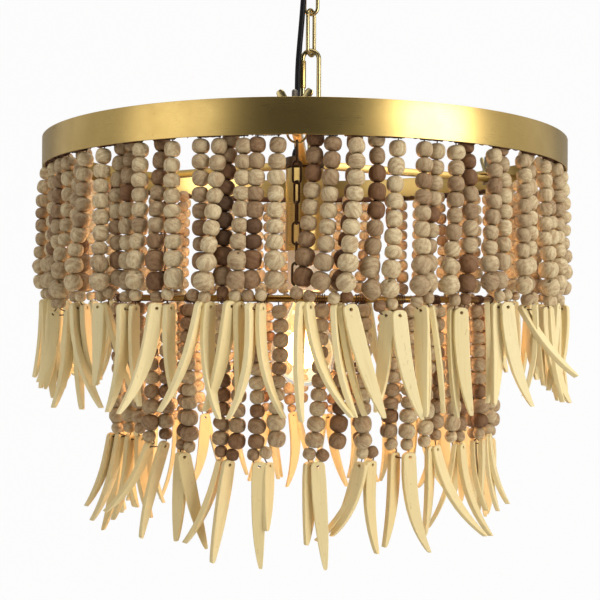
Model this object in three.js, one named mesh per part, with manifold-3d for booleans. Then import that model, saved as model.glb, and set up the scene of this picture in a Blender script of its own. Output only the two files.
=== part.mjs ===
// Two-tier beaded chandelier with its lamp, chain and ceiling canopy, in millimetres, +Z up.
// The origin is on the ceiling plane, on the line that the chain hangs down, and the front is towards -Y.
import * as THREE from "three";
import { mergeVertices } from "three/addons/utils/BufferGeometryUtils.js";
import Module from "manifold-3d";

const wasm = await Module();
wasm.setup();

// Gaps between pieces that sit or turn on each other
const seatGap = 0.3;
const linkGap = 0.5;
const cutOverrun = 1;

// Ceiling canopy, crossbar and loop
const canopyRadius = 62;
const canopyHeight = 28;
const canopyWall = 1.5;
const canopyFlatRadius = 34;
const crossbarLength = 96;
const crossbarWidth = 18;
const crossbarThickness = 2.5;
const slotLength = 14;
const slotWidth = 5;
const slotReach = 34;
const shankRadius = 5;
const shankEndDrop = 0.5;
const collarRadius = 12;
const collarNeckRadius = 8.5;
const collarHeight = 9;
const loopWire = 5;
const loopRadius = 10.5;

// Chain and hanger link
const linkWire = 4.5;
const linkLength = 59;
const linkWidth = 20;
const linkYaw = THREE.MathUtils.degToRad(60);
const hangerWire = 5.6;
const hangerLength = 90;
const hangerWidth = 25;
const hangerMouth = 9;
const sleeveLength = 32.5;
const sleeveWall = 0.9;
const sleeveDrop = 2.7;

// Hub: its axis stands beside the chain, because the hub carries the eye and the cord grip side by side
const hubOffset = 6.5;
const eyeWire = 6;
const eyeRadius = 9;
const eyeShankLength = 30;
const eyeShankRadius = 3.5;
const hubRadius = 23.5;
const hubHeight = 12;
const nippleRadius = 5;
const nippleLength = 20;

// Cord and its two grips
const cordDiameter = 6.7;
const gripRadius = 6;
const gripHeight = 10;
const gripStemRadius = 4;
const gripStemLength = 6;
const canopyGripX = -6.5;
const canopyGripY = -24;
const hubGripX = -9.5;
const hubGripY = -2;

// Arms, bolts and wing nuts
const armWidth = 9;
const armInset = 21;
const armDrop = 2.5;
const armAngles = [-92, 28, 148].map(THREE.MathUtils.degToRad);
const boltRadius = 2.5;
const boltInset = 9;
const boltHeadRadius = 4.6;
const boltHeadHeight = 3.5;
const boltTipRise = 14;
const boltPointHeight = 1;
const nutRadius = 5.5;
const nutTopRadius = 4.4;
const nutHeight = 8;
const wingLength = 18;
const wingWidth = 6.5;
const wingThickness = 2.6;
const wingLean = THREE.MathUtils.degToRad(32);

// Top ring band, its ears and the rod that the threads are wound on
const bandRadius = 305;
const bandWall = 1.7;
const bandHeight = 33.5;
const bandRise = 10;
const earLength = 42;
const earWidth = 16;
const earThickness = 2.5;
const earBite = 0.6;
const rodRadius = 2.3;
const rodRise = 3.5;
const tabWidth = 6;
const tabHeight = 3;
const tabCount = 3;

// Lamp: cup, holder and bulb
const cupRadius = 22.8;
const cupWall = 1.2;
const cupHeight = 99.5;
const cupCapHeight = 2;
const holderRadius = 20;
const holderDrop = 14;
const holderHeight = 134;
const socketRadius = 13.5;
const socketDepth = 29;
const capRadius = 12.9;
const capHeight = 26;
const threadDepth = 0.7;
const contactRadius = 5;
const glassWall = 1.2;
const globeRadius = 40;
const globeDrop = 77;
const glassNeckRadius = 12.6;
const glassNeckLength = 4;

// Lower ring and the three chains that carry it
const lowerInset = 84;
const lowerRodRadius = 3.5;
const jumpRadius = 9.5;
const jumpWire = 2.2;
const jumpCornerGap = 0.6;
const tierLinkLength = 23.6;
const tierLinkWidth = 9;
const tierLinkWire = 2;
const tierLinkCount = 7;
const weldBite = 0.2;

// Bead strings: each swag is one thread that runs down through beads, through its tusks and up again
const threadRadius = 0.9;
const wrapWall = 1;
const wrapRoom = 0.8;
const wrapEnd = 2.4;
const legSpread = 8.9;
const beadRadius = 7.75;
const beadHeight = 14.2;
const largeBeadRadius = 9.3;
const largeBeadHeight = 17;
const lowerBeadRadius = 7.5;
const lowerBeadHeight = 13.6;
const lowerLargeRadius = 8.8;
const lowerLargeHeight = 15.6;
const upperFirstDrop = 6.2;
const lowerFirstDrop = 7.4;
const upperBeads = {
  sites: 45,
  first: upperFirstDrop,
  groups: [
    { count: 7, radius: beadRadius, height: beadHeight },
    { count: 2, radius: largeBeadRadius, height: largeBeadHeight },
  ],
};
const lowerBeads = {
  sites: 30,
  first: lowerFirstDrop,
  groups: [
    { count: 8, radius: lowerBeadRadius, height: lowerBeadHeight },
    { count: 2, radius: lowerLargeRadius, height: lowerLargeHeight },
  ],
};
const sitesPerSwag = 3;
const upperSiteAngle = THREE.MathUtils.degToRad(-89.5);
const lowerSiteAngle = THREE.MathUtils.degToRad(-86.5);
const smallBeadRadius = 5.3;
const smallBeadHeight = 9.6;
const smallBeadSpread = 5.8;
const beadNeckShare = 0.42;
const threadDip = 9;

// Tusks: flat strips that taper to a point and bend along their length
const tuskLength = 101;
const tuskWidth = 12.6;
const tuskThickness = 3.7;
const tuskHoleDrop = 5;
const tuskPitch = 4.1;
const tuskBendRadius = 210;
const tuskTipWidth = 2.2;
const tuskTipThickness = 2;
const tuskCount = 2;
const tuskSwings = [8, -11].map(THREE.MathUtils.degToRad);

// Facets
const canopySides = 20;
const bandSides = 48;
const hubSides = 24;
const turnedSides = 14;
const smallSides = 10;
const wrapSides = 6;
const rodSides = 6;
const tierSides = 4;
const beadSides = 3;
const cordSides = 8;
const cordSteps = 20;

// Heights, each from the piece that carries it
const crossbarZ = -crossbarThickness / 2;
const collarTop = -canopyHeight - seatGap;
const loopZ = collarTop - collarHeight - seatGap - loopWire / 2 - loopRadius;
const loopBottom = loopZ - loopRadius;
const upperLinkTop = loopBottom + (loopWire + linkWire) / 2 + linkGap;
const upperLinkBottom = upperLinkTop - (linkLength - linkWire);
const lowerLinkTop = upperLinkBottom + linkWire + linkGap;
const lowerLinkBottom = lowerLinkTop - (linkLength - linkWire);
const hangerTop = lowerLinkBottom + (linkWire + hangerWire) / 2 + linkGap;
const hangerBottom = hangerTop - (hangerLength - hangerWire);
const eyeTop = hangerBottom + (hangerWire + eyeWire) / 2 + linkGap;
const eyeZ = eyeTop - eyeRadius;
const hubTop = eyeZ - eyeRadius - eyeWire / 2 - eyeShankLength;
const hubBottom = hubTop - hubHeight;
const armTop = hubTop - armDrop;
const armZ = armTop - armWidth / 2;
const bandTop = hubTop + bandRise;
const bandBottom = bandTop - bandHeight;
const earZ = armTop + seatGap + earThickness / 2;
const nutBase = earZ + earThickness / 2 + seatGap;
const rodZ = bandBottom + rodRise;
const cupTop = hubBottom - seatGap;
const holderTop = cupTop - holderDrop;
const holderBottom = holderTop - holderHeight;
const capTop = holderBottom + socketDepth - seatGap;
const capBottom = capTop - capHeight;
const globeZ = capBottom - globeDrop;

// Radii that follow from them
const armReach = bandRadius - armInset;
const boltPlace = armReach - boltInset;
const lowerRadius = bandRadius - lowerInset;
const wrapStretch = 1 / Math.cos(Math.PI / wrapSides);
const wrapReach = (rodRadius + seatGap + wrapWall) * wrapStretch;
const stringRadius = bandRadius - bandWall - wrapRoom - wrapReach;

// Tier chains: where the upper jump ring sits on the arm, and what hangs below it
const jumpInner = jumpRadius - jumpWire / 2;
const jumpZ = armTop - Math.sqrt((jumpInner - jumpCornerGap) ** 2 - (armWidth / 2) ** 2);
const tierLinkPitch = tierLinkLength - 2 * tierLinkWire + weldBite;
const tierTop = jumpZ - jumpRadius + (jumpWire + tierLinkWire) / 2 - weldBite;
const tierBottom = tierTop - (tierLinkCount - 1) * tierLinkPitch - (tierLinkLength - tierLinkWire);
const lowerJumpZ = tierBottom + (jumpWire + tierLinkWire) / 2 - weldBite - jumpRadius;
const lowerZ = lowerJumpZ - jumpInner + seatGap + lowerRodRadius;

// Finishes
function finish(color, roughness, metalness) {
  return new THREE.MeshStandardMaterial({ color, roughness, metalness });
}

const satinBrass = finish(0xb89b52, 0.35, 1);
const darkBronze = finish(0x4a3623, 0.5, 0.9);
const blackRubber = finish(0x17171a, 0.55, 0);
const porcelain = finish(0xe9e2d0, 0.3, 0);
const capMetal = finish(0xb9a060, 0.3, 1);
const clearGlass = finish(0xf6efd8, 0.05, 0);
const zincSteel = finish(0x9a988f, 0.45, 1);
const wood = finish(0xb79f7c, 0.75, 0);

// Solids: joins and cuts on closed meshes
function solidOf(geometry) {
  const bare = geometry.clone();
  bare.deleteAttribute("normal");
  bare.deleteAttribute("uv");
  const merged = mergeVertices(bare, 1e-4);
  const solid = new wasm.Manifold(
    new wasm.Mesh({
      numProp: 3,
      vertProperties: new Float32Array(merged.attributes.position.array),
      triVerts: new Uint32Array(merged.index.array),
    }),
  );
  if (solid.volume() <= 0) throw new Error("a solid is inside out");
  return solid;
}

function geometryOf(solid) {
  const mesh = solid.getMesh();
  return new THREE.BufferGeometry()
    .setAttribute("position", new THREE.BufferAttribute(mesh.vertProperties, 3))
    .setIndex(new THREE.BufferAttribute(mesh.triVerts, 1));
}

function join(...geometries) {
  return geometryOf(geometries.map(solidOf).reduce((all, next) => all.add(next)));
}

function cut(body, ...tools) {
  return geometryOf(tools.map(solidOf).reduce((left, tool) => left.subtract(tool), solidOf(body)));
}

// A turned piece from its profile of radii and heights, with its axis along Z
function turned(profile, sides) {
  const points = profile.map(([radius, height]) => new THREE.Vector2(radius, height));
  return new THREE.LatheGeometry(points, sides).rotateX(Math.PI / 2);
}

// A profile that closes on itself, for a turned piece with a bore
function closed(profile) {
  return [...profile, profile[0]];
}

// A round bar along Z between two heights
function bar(radius, low, high, sides) {
  return new THREE.CylinderGeometry(radius, radius, high - low, sides)
    .rotateX(Math.PI / 2)
    .translate(0, 0, (low + high) / 2);
}

// A closed wire link in the XZ plane: a ring whose two halves are drawn apart along Z
function wireLink(length, width, wire, steps, sides) {
  const radius = (width - wire) / 2;
  const stretch = length - width;
  const ring = new THREE.TorusGeometry(radius, wire / 2, sides, steps).rotateZ(Math.PI / steps);
  const position = ring.attributes.position;
  for (let i = 0; i < position.count; i += 1) {
    position.setY(i, position.getY(i) + (Math.sign(position.getY(i)) * stretch) / 2);
  }
  return ring.rotateX(Math.PI / 2);
}

// A solid through a row of rings that all have the same number of points
function loft(rings) {
  const sides = rings[0].length;
  const index = [];
  for (let i = 0; i + 1 < rings.length; i += 1) {
    for (let s = 0; s < sides; s += 1) {
      const a = i * sides + s;
      const b = i * sides + ((s + 1) % sides);
      index.push(a, b, b + sides, a, b + sides, a + sides);
    }
  }
  const last = (rings.length - 1) * sides;
  for (let s = 1; s + 1 < sides; s += 1) {
    index.push(0, s + 1, s, last, last + s, last + s + 1);
  }
  const geometry = new THREE.BufferGeometry().setFromPoints(rings.flat());
  return geometry.setIndex(index);
}

const root = new THREE.Group();
const fixture = new THREE.Group();
fixture.position.x = -hubOffset;
root.add(fixture);

function addPart(name, geometry, material, parent = fixture) {
  const part = new THREE.Mesh(geometry, material.clone());
  part.name = name;
  parent.add(part);
  return part;
}

// Crossbar that screws to the ceiling box, with a slot at each end
function crossbar() {
  const plate = new THREE.BoxGeometry(crossbarLength, crossbarWidth, crossbarThickness).translate(0, 0, crossbarZ);
  const outline = new THREE.Shape();
  const half = (slotLength - slotWidth) / 2;
  outline.absarc(half, 0, slotWidth / 2, -Math.PI / 2, Math.PI / 2);
  outline.absarc(-half, 0, slotWidth / 2, Math.PI / 2, (3 * Math.PI) / 2);
  const depth = crossbarThickness + 2 * cutOverrun;
  const slots = [-1, 1].map((side) =>
    new THREE.ExtrudeGeometry(outline, { depth, bevelEnabled: false, curveSegments: 4 }).translate(
      side * slotReach,
      0,
      -crossbarThickness - cutOverrun,
    ),
  );
  const bore = bar(shankRadius + seatGap, -depth, cutOverrun, smallSides);
  return cut(plate, bore, ...slots);
}

// Spun canopy: a shallow dome with a flat middle, open at the ceiling
function ceilingCanopy() {
  const outer = [];
  const inner = [];
  const steps = 4;
  for (let i = 0; i <= steps; i += 1) {
    const turn = (i / steps) * (Math.PI / 2);
    const span = canopyRadius - canopyFlatRadius;
    outer.push([canopyFlatRadius + span * Math.cos(turn), -canopyHeight * Math.sin(turn)]);
    inner.push([
      canopyFlatRadius + (span - canopyWall) * Math.cos(turn),
      -(canopyHeight - canopyWall) * Math.sin(turn),
    ]);
  }
  const boreRadius = shankRadius + seatGap;
  outer.push([boreRadius, -canopyHeight], [boreRadius, canopyWall - canopyHeight]);
  const shell = turned(closed([...outer, ...inner.reverse()]).reverse(), canopySides);
  const hole = bar(gripStemRadius + seatGap, -canopyHeight - cutOverrun, cutOverrun - canopyHeight + canopyWall, smallSides);
  return cut(shell, hole.translate(canopyGripX, canopyGripY, 0));
}

// Threaded shank with the ring that the chain hangs in
function canopyLoop() {
  const ring = new THREE.TorusGeometry(loopRadius, loopWire / 2, 6, 14).rotateY(Math.PI / 2).translate(0, 0, loopZ);
  return join(ring, bar(shankRadius, loopZ + loopRadius, -shankEndDrop, 12));
}

// Collar that is turned up the shank to hold the canopy
function collarRing() {
  const bore = shankRadius + seatGap;
  const low = collarTop - collarHeight;
  const waist = collarTop - collarHeight / 2;
  return turned(
    closed([[bore, collarTop], [bore, low], [collarNeckRadius, low], [collarRadius, waist], [collarRadius, collarTop]]),
    turnedSides,
  );
}

// Cord grip: a stem through the sheet, and a tapered body that the cord comes out of
function canopyCordGrip() {
  const top = collarTop;
  const waist = top - gripHeight / 2;
  const stemTop = top + canopyWall + gripStemLength;
  const profile = [
    [0, top - gripHeight],
    [gripStemRadius, top - gripHeight],
    [gripRadius, waist],
    [gripRadius, top],
    [gripStemRadius, top],
    [gripStemRadius, stemTop],
    [0, stemTop],
  ];
  return turned(profile, smallSides).translate(canopyGripX, canopyGripY, 0);
}

function hubCordGrip() {
  const low = hubTop + seatGap;
  const waist = low + gripHeight / 2;
  const high = low + gripHeight;
  const profile = [[0, low], [gripRadius, low], [gripRadius, waist], [gripStemRadius, high], [0, high]];
  return turned(profile, smallSides).translate(hubGripX, hubGripY, 0);
}

// Hanger link: an oblong wire link with a mouth in its left leg, which the sleeve closes
const hangerLegX = -(hangerWidth - hangerWire) / 2;
const hangerLegTop = hangerTop - (hangerWidth - hangerWire) / 2;
const sleeveTop = hangerLegTop - sleeveDrop;

function hangerLink() {
  const link = wireLink(hangerLength, hangerWidth, hangerWire, 18, 6).translate(0, 0, (hangerTop + hangerBottom) / 2);
  const mouthTop = sleeveTop - (sleeveLength - hangerMouth) / 4;
  const mouth = bar(hangerWire, mouthTop - hangerMouth, mouthTop, smallSides);
  return cut(link, mouth.translate(hangerLegX, 0, 0));
}

function hangerSleeve() {
  const bore = hangerWire / 2 + seatGap;
  const outer = bore + sleeveWall;
  const low = sleeveTop - sleeveLength;
  return turned(closed([[bore, sleeveTop], [bore, low], [outer, low], [outer, sleeveTop]]), smallSides).translate(
    hangerLegX,
    0,
    0,
  );
}

// Eye and its shank, screwed into the hub beside the cord grip
function hubEye() {
  const ring = new THREE.TorusGeometry(eyeRadius, eyeWire / 2, 6, 14).rotateY(Math.PI / 2);
  const shank = bar(eyeShankRadius, hubTop + seatGap, eyeZ - eyeRadius, smallSides);
  return join(ring.translate(0, 0, eyeZ), shank);
}

// Hub: a turned disc with a nipple below that holds the cup and the lamp holder
function hubDisc() {
  const end = hubBottom - nippleLength;
  const profile = [
    [0, end],
    [nippleRadius, end],
    [nippleRadius, hubBottom],
    [hubRadius, hubBottom],
    [hubRadius, hubTop],
    [0, hubTop],
  ];
  const facet = Math.PI / hubSides;
  return turned(profile, hubSides).rotateZ(armAngles[1] + facet);
}

// Square arm from the hub's side to the ring, drilled for its bolt
function arm() {
  const start = hubRadius * Math.cos(Math.PI / hubSides) + seatGap;
  const length = armReach - start;
  const beam = new THREE.BoxGeometry(length, armWidth, armWidth).translate(start + length / 2, 0, armZ);
  const hole = bar(boltRadius + seatGap, armZ - armWidth, armTop + cutOverrun, smallSides);
  return cut(beam, hole.translate(boltPlace, 0, 0));
}

// Hex bolt from below, through the arm, the ear and the wing nut
function armBolt() {
  const headTop = armTop - armWidth - seatGap;
  const tip = nutBase + boltTipRise;
  const profile = [
    [0, headTop - boltHeadHeight],
    [boltHeadRadius, headTop - boltHeadHeight],
    [boltHeadRadius, headTop],
    [boltRadius, headTop],
    [boltRadius, tip - boltPointHeight],
    [boltRadius - boltPointHeight, tip],
    [0, tip],
  ];
  return turned(profile, 6).translate(boltPlace, 0, 0);
}

// Wing nut: a tapered boss with two flat wings that lean apart
function wingNut() {
  const bore = boltRadius + seatGap;
  const boss = turned(
    closed([[bore, 0], [nutRadius, 0], [nutTopRadius, nutHeight], [bore, nutHeight]]),
    smallSides,
  );
  const outline = new THREE.Shape();
  outline.moveTo(-wingWidth / 2, 0);
  outline.lineTo(wingWidth / 2, 0);
  outline.absarc(0, wingLength - wingWidth / 2, wingWidth / 2, 0, Math.PI);
  const wings = [0, Math.PI].map((turn) =>
    new THREE.ExtrudeGeometry(outline, { depth: wingThickness, bevelEnabled: false, curveSegments: 4 })
      .rotateX(Math.PI / 2)
      .translate(0, wingThickness / 2, 0)
      .rotateY(wingLean)
      .translate((bore + nutRadius) / 2, 0, nutHeight / 2)
      .rotateZ(turn),
  );
  const clearBore = bar(bore, -cutOverrun, wingLength, smallSides);
  return cut(join(boss, ...wings), clearBore).translate(boltPlace, 0, nutBase);
}

// Ring band: a tall thin hoop with three ears welded inside it, one above each arm
function ringBand() {
  const inner = bandRadius - bandWall;
  const hoop = turned(
    closed([[bandRadius, bandBottom], [bandRadius, bandTop], [inner, bandTop], [inner, bandBottom]]),
    bandSides,
  );
  const earEnd = inner * Math.cos(Math.PI / bandSides) + earBite;
  const ears = armAngles.map((angle) => {
    const plate = new THREE.BoxGeometry(earLength, earWidth, earThickness).translate(earEnd - earLength / 2, 0, earZ);
    const hole = bar(boltRadius + seatGap, earZ - earThickness, earZ + earThickness, smallSides);
    return cut(plate, hole.translate(boltPlace, 0, 0)).rotateZ(angle);
  });
  return join(hoop, ...ears);
}

// Rod inside the band's lower edge, with the tabs that weld it to the band
function stringRod() {
  const hoop = new THREE.TorusGeometry(stringRadius, rodRadius, rodSides, upperBeads.sites)
    .rotateZ(upperSiteAngle + Math.PI / upperBeads.sites)
    .translate(0, 0, rodZ);
  const end = (bandRadius - bandWall) * Math.cos(Math.PI / bandSides) - seatGap;
  const tabs = Array.from({ length: tabCount }, (_, i) =>
    new THREE.BoxGeometry(end - stringRadius, tabWidth, tabHeight)
      .translate((end + stringRadius) / 2, 0, rodZ)
      .rotateZ(upperSiteAngle + Math.PI / upperBeads.sites + (i * 2 * Math.PI) / tabCount),
  );
  return join(hoop, ...tabs);
}

// Cup over the lamp holder, closed at the top round the nipple
function socketCup() {
  const bore = nippleRadius + seatGap;
  const inner = cupRadius - cupWall;
  const low = cupTop - cupHeight;
  return turned(
    closed([
      [bore, cupTop],
      [bore, cupTop - cupCapHeight],
      [inner, cupTop - cupCapHeight],
      [inner, low],
      [cupRadius, low],
      [cupRadius, cupTop],
    ]),
    canopySides,
  );
}

// Lamp holder: bored for the nipple above, and open below for the bulb's cap
function lampHolder() {
  const bore = nippleRadius + seatGap;
  const boreEnd = hubBottom - nippleLength - seatGap;
  const socketTop = holderBottom + socketDepth;
  return turned(
    [
      [0, socketTop],
      [socketRadius, socketTop],
      [socketRadius, holderBottom],
      [holderRadius, holderBottom],
      [holderRadius, holderTop],
      [bore, holderTop],
      [bore, boreEnd],
      [0, boreEnd],
    ],
    turnedSides,
  );
}

// Screw cap of the bulb: ridges for its thread and a contact at the top
function bulbBase() {
  const turns = 3;
  const contactHeight = capHeight / 6;
  const threadTop = capTop - contactHeight;
  const rise = (threadTop - capBottom) / (2 * turns);
  const profile = [[0, capBottom]];
  for (let i = 0; i <= 2 * turns; i += 1) {
    profile.push([i % 2 ? capRadius - threadDepth : capRadius, capBottom + i * rise]);
  }
  profile.push([contactRadius, capTop], [0, capTop]);
  return turned(profile, turnedSides);
}

// Clear globe with a long neck, open at the top where the cap closes it
function glassProfile(inset) {
  const neckEnd = capBottom - seatGap;
  const radius = globeRadius - inset;
  const points = [[glassNeckRadius - inset, neckEnd]];
  const neckLow = neckEnd - glassNeckLength;
  const neckSteps = 2;
  const globeSteps = 5;
  const shoulder = Math.PI / 4;
  const shoulderRadius = radius * Math.cos(shoulder);
  const shoulderZ = globeZ + radius * Math.sin(shoulder);
  for (let i = 0; i < neckSteps; i += 1) {
    const share = i / neckSteps;
    const eased = share * share * (3 - 2 * share);
    points.push([
      glassNeckRadius - inset + (shoulderRadius - glassNeckRadius + inset) * eased,
      neckLow + (shoulderZ - neckLow) * share,
    ]);
  }
  for (let i = 0; i <= globeSteps; i += 1) {
    const turn = shoulder - (i / globeSteps) * (shoulder + Math.PI / 2);
    points.push([i === globeSteps ? 0 : radius * Math.cos(turn), globeZ + radius * Math.sin(turn)]);
  }
  return points;
}

function bulbGlass() {
  return turned([...glassProfile(0).reverse(), ...glassProfile(glassWall)], turnedSides);
}

// Tier chain: a jump ring on the arm, seven links, and a jump ring round the lower rod
function tierChain() {
  const jump = () => new THREE.TorusGeometry(jumpRadius, jumpWire / 2, tierSides, 10);
  const upper = jump().rotateY(Math.PI / 2).translate(0, 0, jumpZ);
  const lower = jump().rotateX(Math.PI / 2).translate(0, 0, lowerJumpZ);
  const links = Array.from({ length: tierLinkCount }, (_, i) => {
    const middle = tierTop - i * tierLinkPitch - (tierLinkLength - tierLinkWire) / 2;
    const link = wireLink(tierLinkLength, tierLinkWidth, tierLinkWire, 6, tierSides);
    return link.rotateZ(i % 2 ? Math.PI / 2 : 0).translate(0, 0, middle);
  });
  return join(upper, ...links, lower).translate(lowerRadius, 0, 0);
}

// Lower rod ring
function lowerRing() {
  return new THREE.TorusGeometry(lowerRadius, lowerRodRadius, rodSides, lowerBeads.sites)
    .rotateZ(lowerSiteAngle + Math.PI / lowerBeads.sites)
    .translate(0, 0, lowerZ);
}

// One leg's places and sizes down its thread, from the wrap to below its small bead
function legStations(beads, wrappedRadius) {
  const start = wrappedRadius + seatGap + wrapWall / 2;
  const stations = [{ y: legSpread, z: -start, radius: threadRadius }];
  let z = -beads.first;
  stations.push({ y: legSpread, z, radius: threadRadius });
  for (const { count, radius, height } of beads.groups) {
    const spread = Math.max(legSpread, radius + seatGap);
    for (let i = 0; i < count; i += 1) {
      stations.push({ y: spread, z: z - height / 2, radius });
      z -= height;
      stations.push({ y: spread, z, radius: radius * beadNeckShare });
    }
  }
  const last = stations[stations.length - 1];
  last.y = (last.y + smallBeadSpread) / 2;
  stations.push({ y: smallBeadSpread, z: z - smallBeadHeight / 2, radius: smallBeadRadius });
  z -= smallBeadHeight;
  stations.push({ y: smallBeadSpread, z, radius: threadRadius });
  stations.push({ y: smallBeadSpread, z: z - threadDip, radius: threadRadius });
  return stations;
}

// The whole thread: down one leg, across through the tusks and up the other leg
function beadString(stations) {
  const path = [...stations, ...stations.map((s) => ({ ...s, y: -s.y })).reverse()];
  const rings = path.map(({ y, z, radius }, i) => {
    const before = path[Math.max(i - 1, 0)];
    const after = path[Math.min(i + 1, path.length - 1)];
    const along = new THREE.Vector2(after.y - before.y, after.z - before.z).normalize();
    return Array.from({ length: beadSides }, (_, s) => {
      const turn = (s * 2 * Math.PI) / beadSides;
      const side = radius * Math.cos(turn);
      return new THREE.Vector3(radius * Math.sin(turn), y - side * along.y, z + side * along.x);
    });
  });
  return loft(rings);
}

// One tusk, hung from its hole at the origin, bent towards +Y or -Y
function tusk(bendSide) {
  const widthShares = [0.6, 1, 0.94];
  const placeShares = [0, 0.08, 0.56];
  const rings = [];
  const section = (along, width, thickness) => {
    const down = along - tuskHoleDrop;
    const shift = (bendSide * down * Math.abs(down)) / (2 * tuskBendRadius);
    const corners = [
      [-1, -1],
      [-1, 1],
      [1, 1],
      [1, -1],
    ];
    return corners.map(([a, b]) => new THREE.Vector3((a * width) / 2, shift + (b * thickness) / 2, -down));
  };
  placeShares.forEach((share, i) => {
    rings.push(section(share * tuskLength, widthShares[i] * tuskWidth, tuskThickness));
  });
  rings.push(section(tuskLength, tuskTipWidth, tuskTipThickness));
  return loft(rings);
}

// Swag: the thread wound on the rod, its beads and its tusks, with the rod's axis at the origin
function swag(beads, wrappedRadius, mirrored) {
  const stations = legStations(beads, wrappedRadius);
  const half = legSpread + wrapEnd;
  const inner = (wrappedRadius + seatGap) * wrapStretch;
  const outer = (wrappedRadius + seatGap + wrapWall) * wrapStretch;
  const wrap = turned(closed([[inner, half], [inner, -half], [outer, -half], [outer, half]]), wrapSides)
    .rotateX(Math.PI / 2)
    .rotateY(Math.PI / wrapSides);
  const tusks = Array.from({ length: tuskCount }, (_, i) => {
    const place = (i - (tuskCount - 1) / 2) * tuskPitch;
    const bendSide = (i === 0 ? -1 : 1) * mirrored;
    return tusk(bendSide)
      .rotateY(tuskSwings[i] * mirrored)
      .translate(0, place * mirrored, stations[stations.length - 1].z);
  });
  return join(...tusks, beadString(stations), wrap);
}

// Cord from the canopy's grip to the hub's, held at both ends
function powerCord() {
  const start = new THREE.Vector3(canopyGripX, canopyGripY, collarTop - gripHeight - seatGap);
  const end = new THREE.Vector3(hubGripX - hubOffset, hubGripY, hubTop + 2 * seatGap + gripHeight);
  const run = end.clone().sub(start);
  const routeShares = [
    [0, 0, 0],
    [0, 0, 0.032],
    [0.021, 0.068, 0.07],
    [0.074, 0.273, 0.117],
    [0.158, 0.5, 0.168],
    [0.253, 0.636, 0.219],
    [0.347, 0.7, 0.275],
    [0.463, 0.718, 0.339],
    [0.6, 0.723, 0.407],
    [0.747, 0.736, 0.48],
    [0.884, 0.764, 0.557],
    [0.958, 0.782, 0.634],
    [0.979, 0.809, 0.715],
    [0.989, 0.864, 0.792],
    [1, 0.936, 0.86],
    [1, 0.986, 0.915],
    [1, 1, 0.958],
    [1, 1, 1],
  ];
  const points = routeShares.map((shares) => new THREE.Vector3(...shares).multiply(run).add(start));
  const section = new THREE.Shape();
  for (let s = 0; s < cordSides; s += 1) {
    const turn = (s * 2 * Math.PI) / cordSides;
    section[s ? "lineTo" : "moveTo"]((cordDiameter / 2) * Math.cos(turn), (cordDiameter / 2) * Math.sin(turn));
  }
  const extrudePath = new THREE.CatmullRomCurve3(points, false, "centripetal");
  return new THREE.ExtrudeGeometry(section, { steps: cordSteps, extrudePath, bevelEnabled: false });
}

// Ceiling and chain
addPart("crossbar", crossbar(), zincSteel, root);
addPart("ceiling_canopy", ceilingCanopy(), satinBrass, root);
addPart("canopy_loop", canopyLoop(), satinBrass, root);
addPart("collar_ring", collarRing(), satinBrass, root);
addPart("canopy_cord_grip", canopyCordGrip(), satinBrass, root);
const upperLink = addPart("chain_link_upper", wireLink(linkLength, linkWidth, linkWire, 14, 6), satinBrass, root);
upperLink.position.z = (upperLinkTop + upperLinkBottom) / 2;
const lowerLink = addPart("chain_link_lower", wireLink(linkLength, linkWidth, linkWire, 14, 6), satinBrass, root);
lowerLink.position.z = (lowerLinkTop + lowerLinkBottom) / 2;
lowerLink.rotation.z = linkYaw;
addPart("hanger_link", hangerLink(), satinBrass, root);
addPart("hanger_sleeve", hangerSleeve(), satinBrass, root);
addPart("power_cord", powerCord(), blackRubber, root);

// Hub and lamp
const eye = addPart("hub_eye", hubEye(), satinBrass);
eye.position.x = hubOffset;
addPart("hub_disc", hubDisc(), satinBrass);
addPart("hub_cord_grip", hubCordGrip(), satinBrass);
addPart("socket_cup", socketCup(), satinBrass);
addPart("lamp_holder", lampHolder(), porcelain);
addPart("bulb_base", bulbBase(), capMetal);
addPart("bulb_glass", bulbGlass(), clearGlass);

// Ring frame
addPart("ring_band", ringBand(), satinBrass);
addPart("string_rod", stringRod(), darkBronze);
addPart("lower_ring", lowerRing(), satinBrass);
armAngles.forEach((angle, i) => {
  const side = ["front", "right", "left"][i];
  const spoke = new THREE.Group();
  spoke.rotation.z = angle;
  fixture.add(spoke);
  addPart(`arm_${side}`, arm(), satinBrass, spoke);
  addPart(`arm_bolt_${side}`, armBolt(), zincSteel, spoke);
  addPart(`wing_nut_${side}`, wingNut(), satinBrass, spoke);
  addPart(`tier_chain_${side}`, tierChain(), darkBronze, spoke);
});

// Swags: every third place on each rod has its solid, on the flat of the rod that the place has
function addSwags(tier, beads, radius, height, firstAngle, wrappedRadius) {
  const count = beads.sites / sitesPerSwag;
  for (let i = 0; i < count; i += 1) {
    const spoke = new THREE.Group();
    spoke.rotation.z = firstAngle + (i * 2 * Math.PI) / count;
    fixture.add(spoke);
    const name = `${tier}_swag_${String(i + 1).padStart(2, "0")}`;
    const hung = addPart(name, swag(beads, wrappedRadius, i % 2 ? -1 : 1), wood, spoke);
    hung.position.set(radius * Math.cos(Math.PI / beads.sites), 0, height);
  }
}

addSwags("upper", upperBeads, stringRadius, rodZ, upperSiteAngle, rodRadius);
addSwags("lower", lowerBeads, lowerRadius, lowerZ, lowerSiteAngle, lowerRodRadius);

export default root;
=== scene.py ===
from math import atan, copysign, cos, hypot, pi, radians, sin, sqrt

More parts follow.
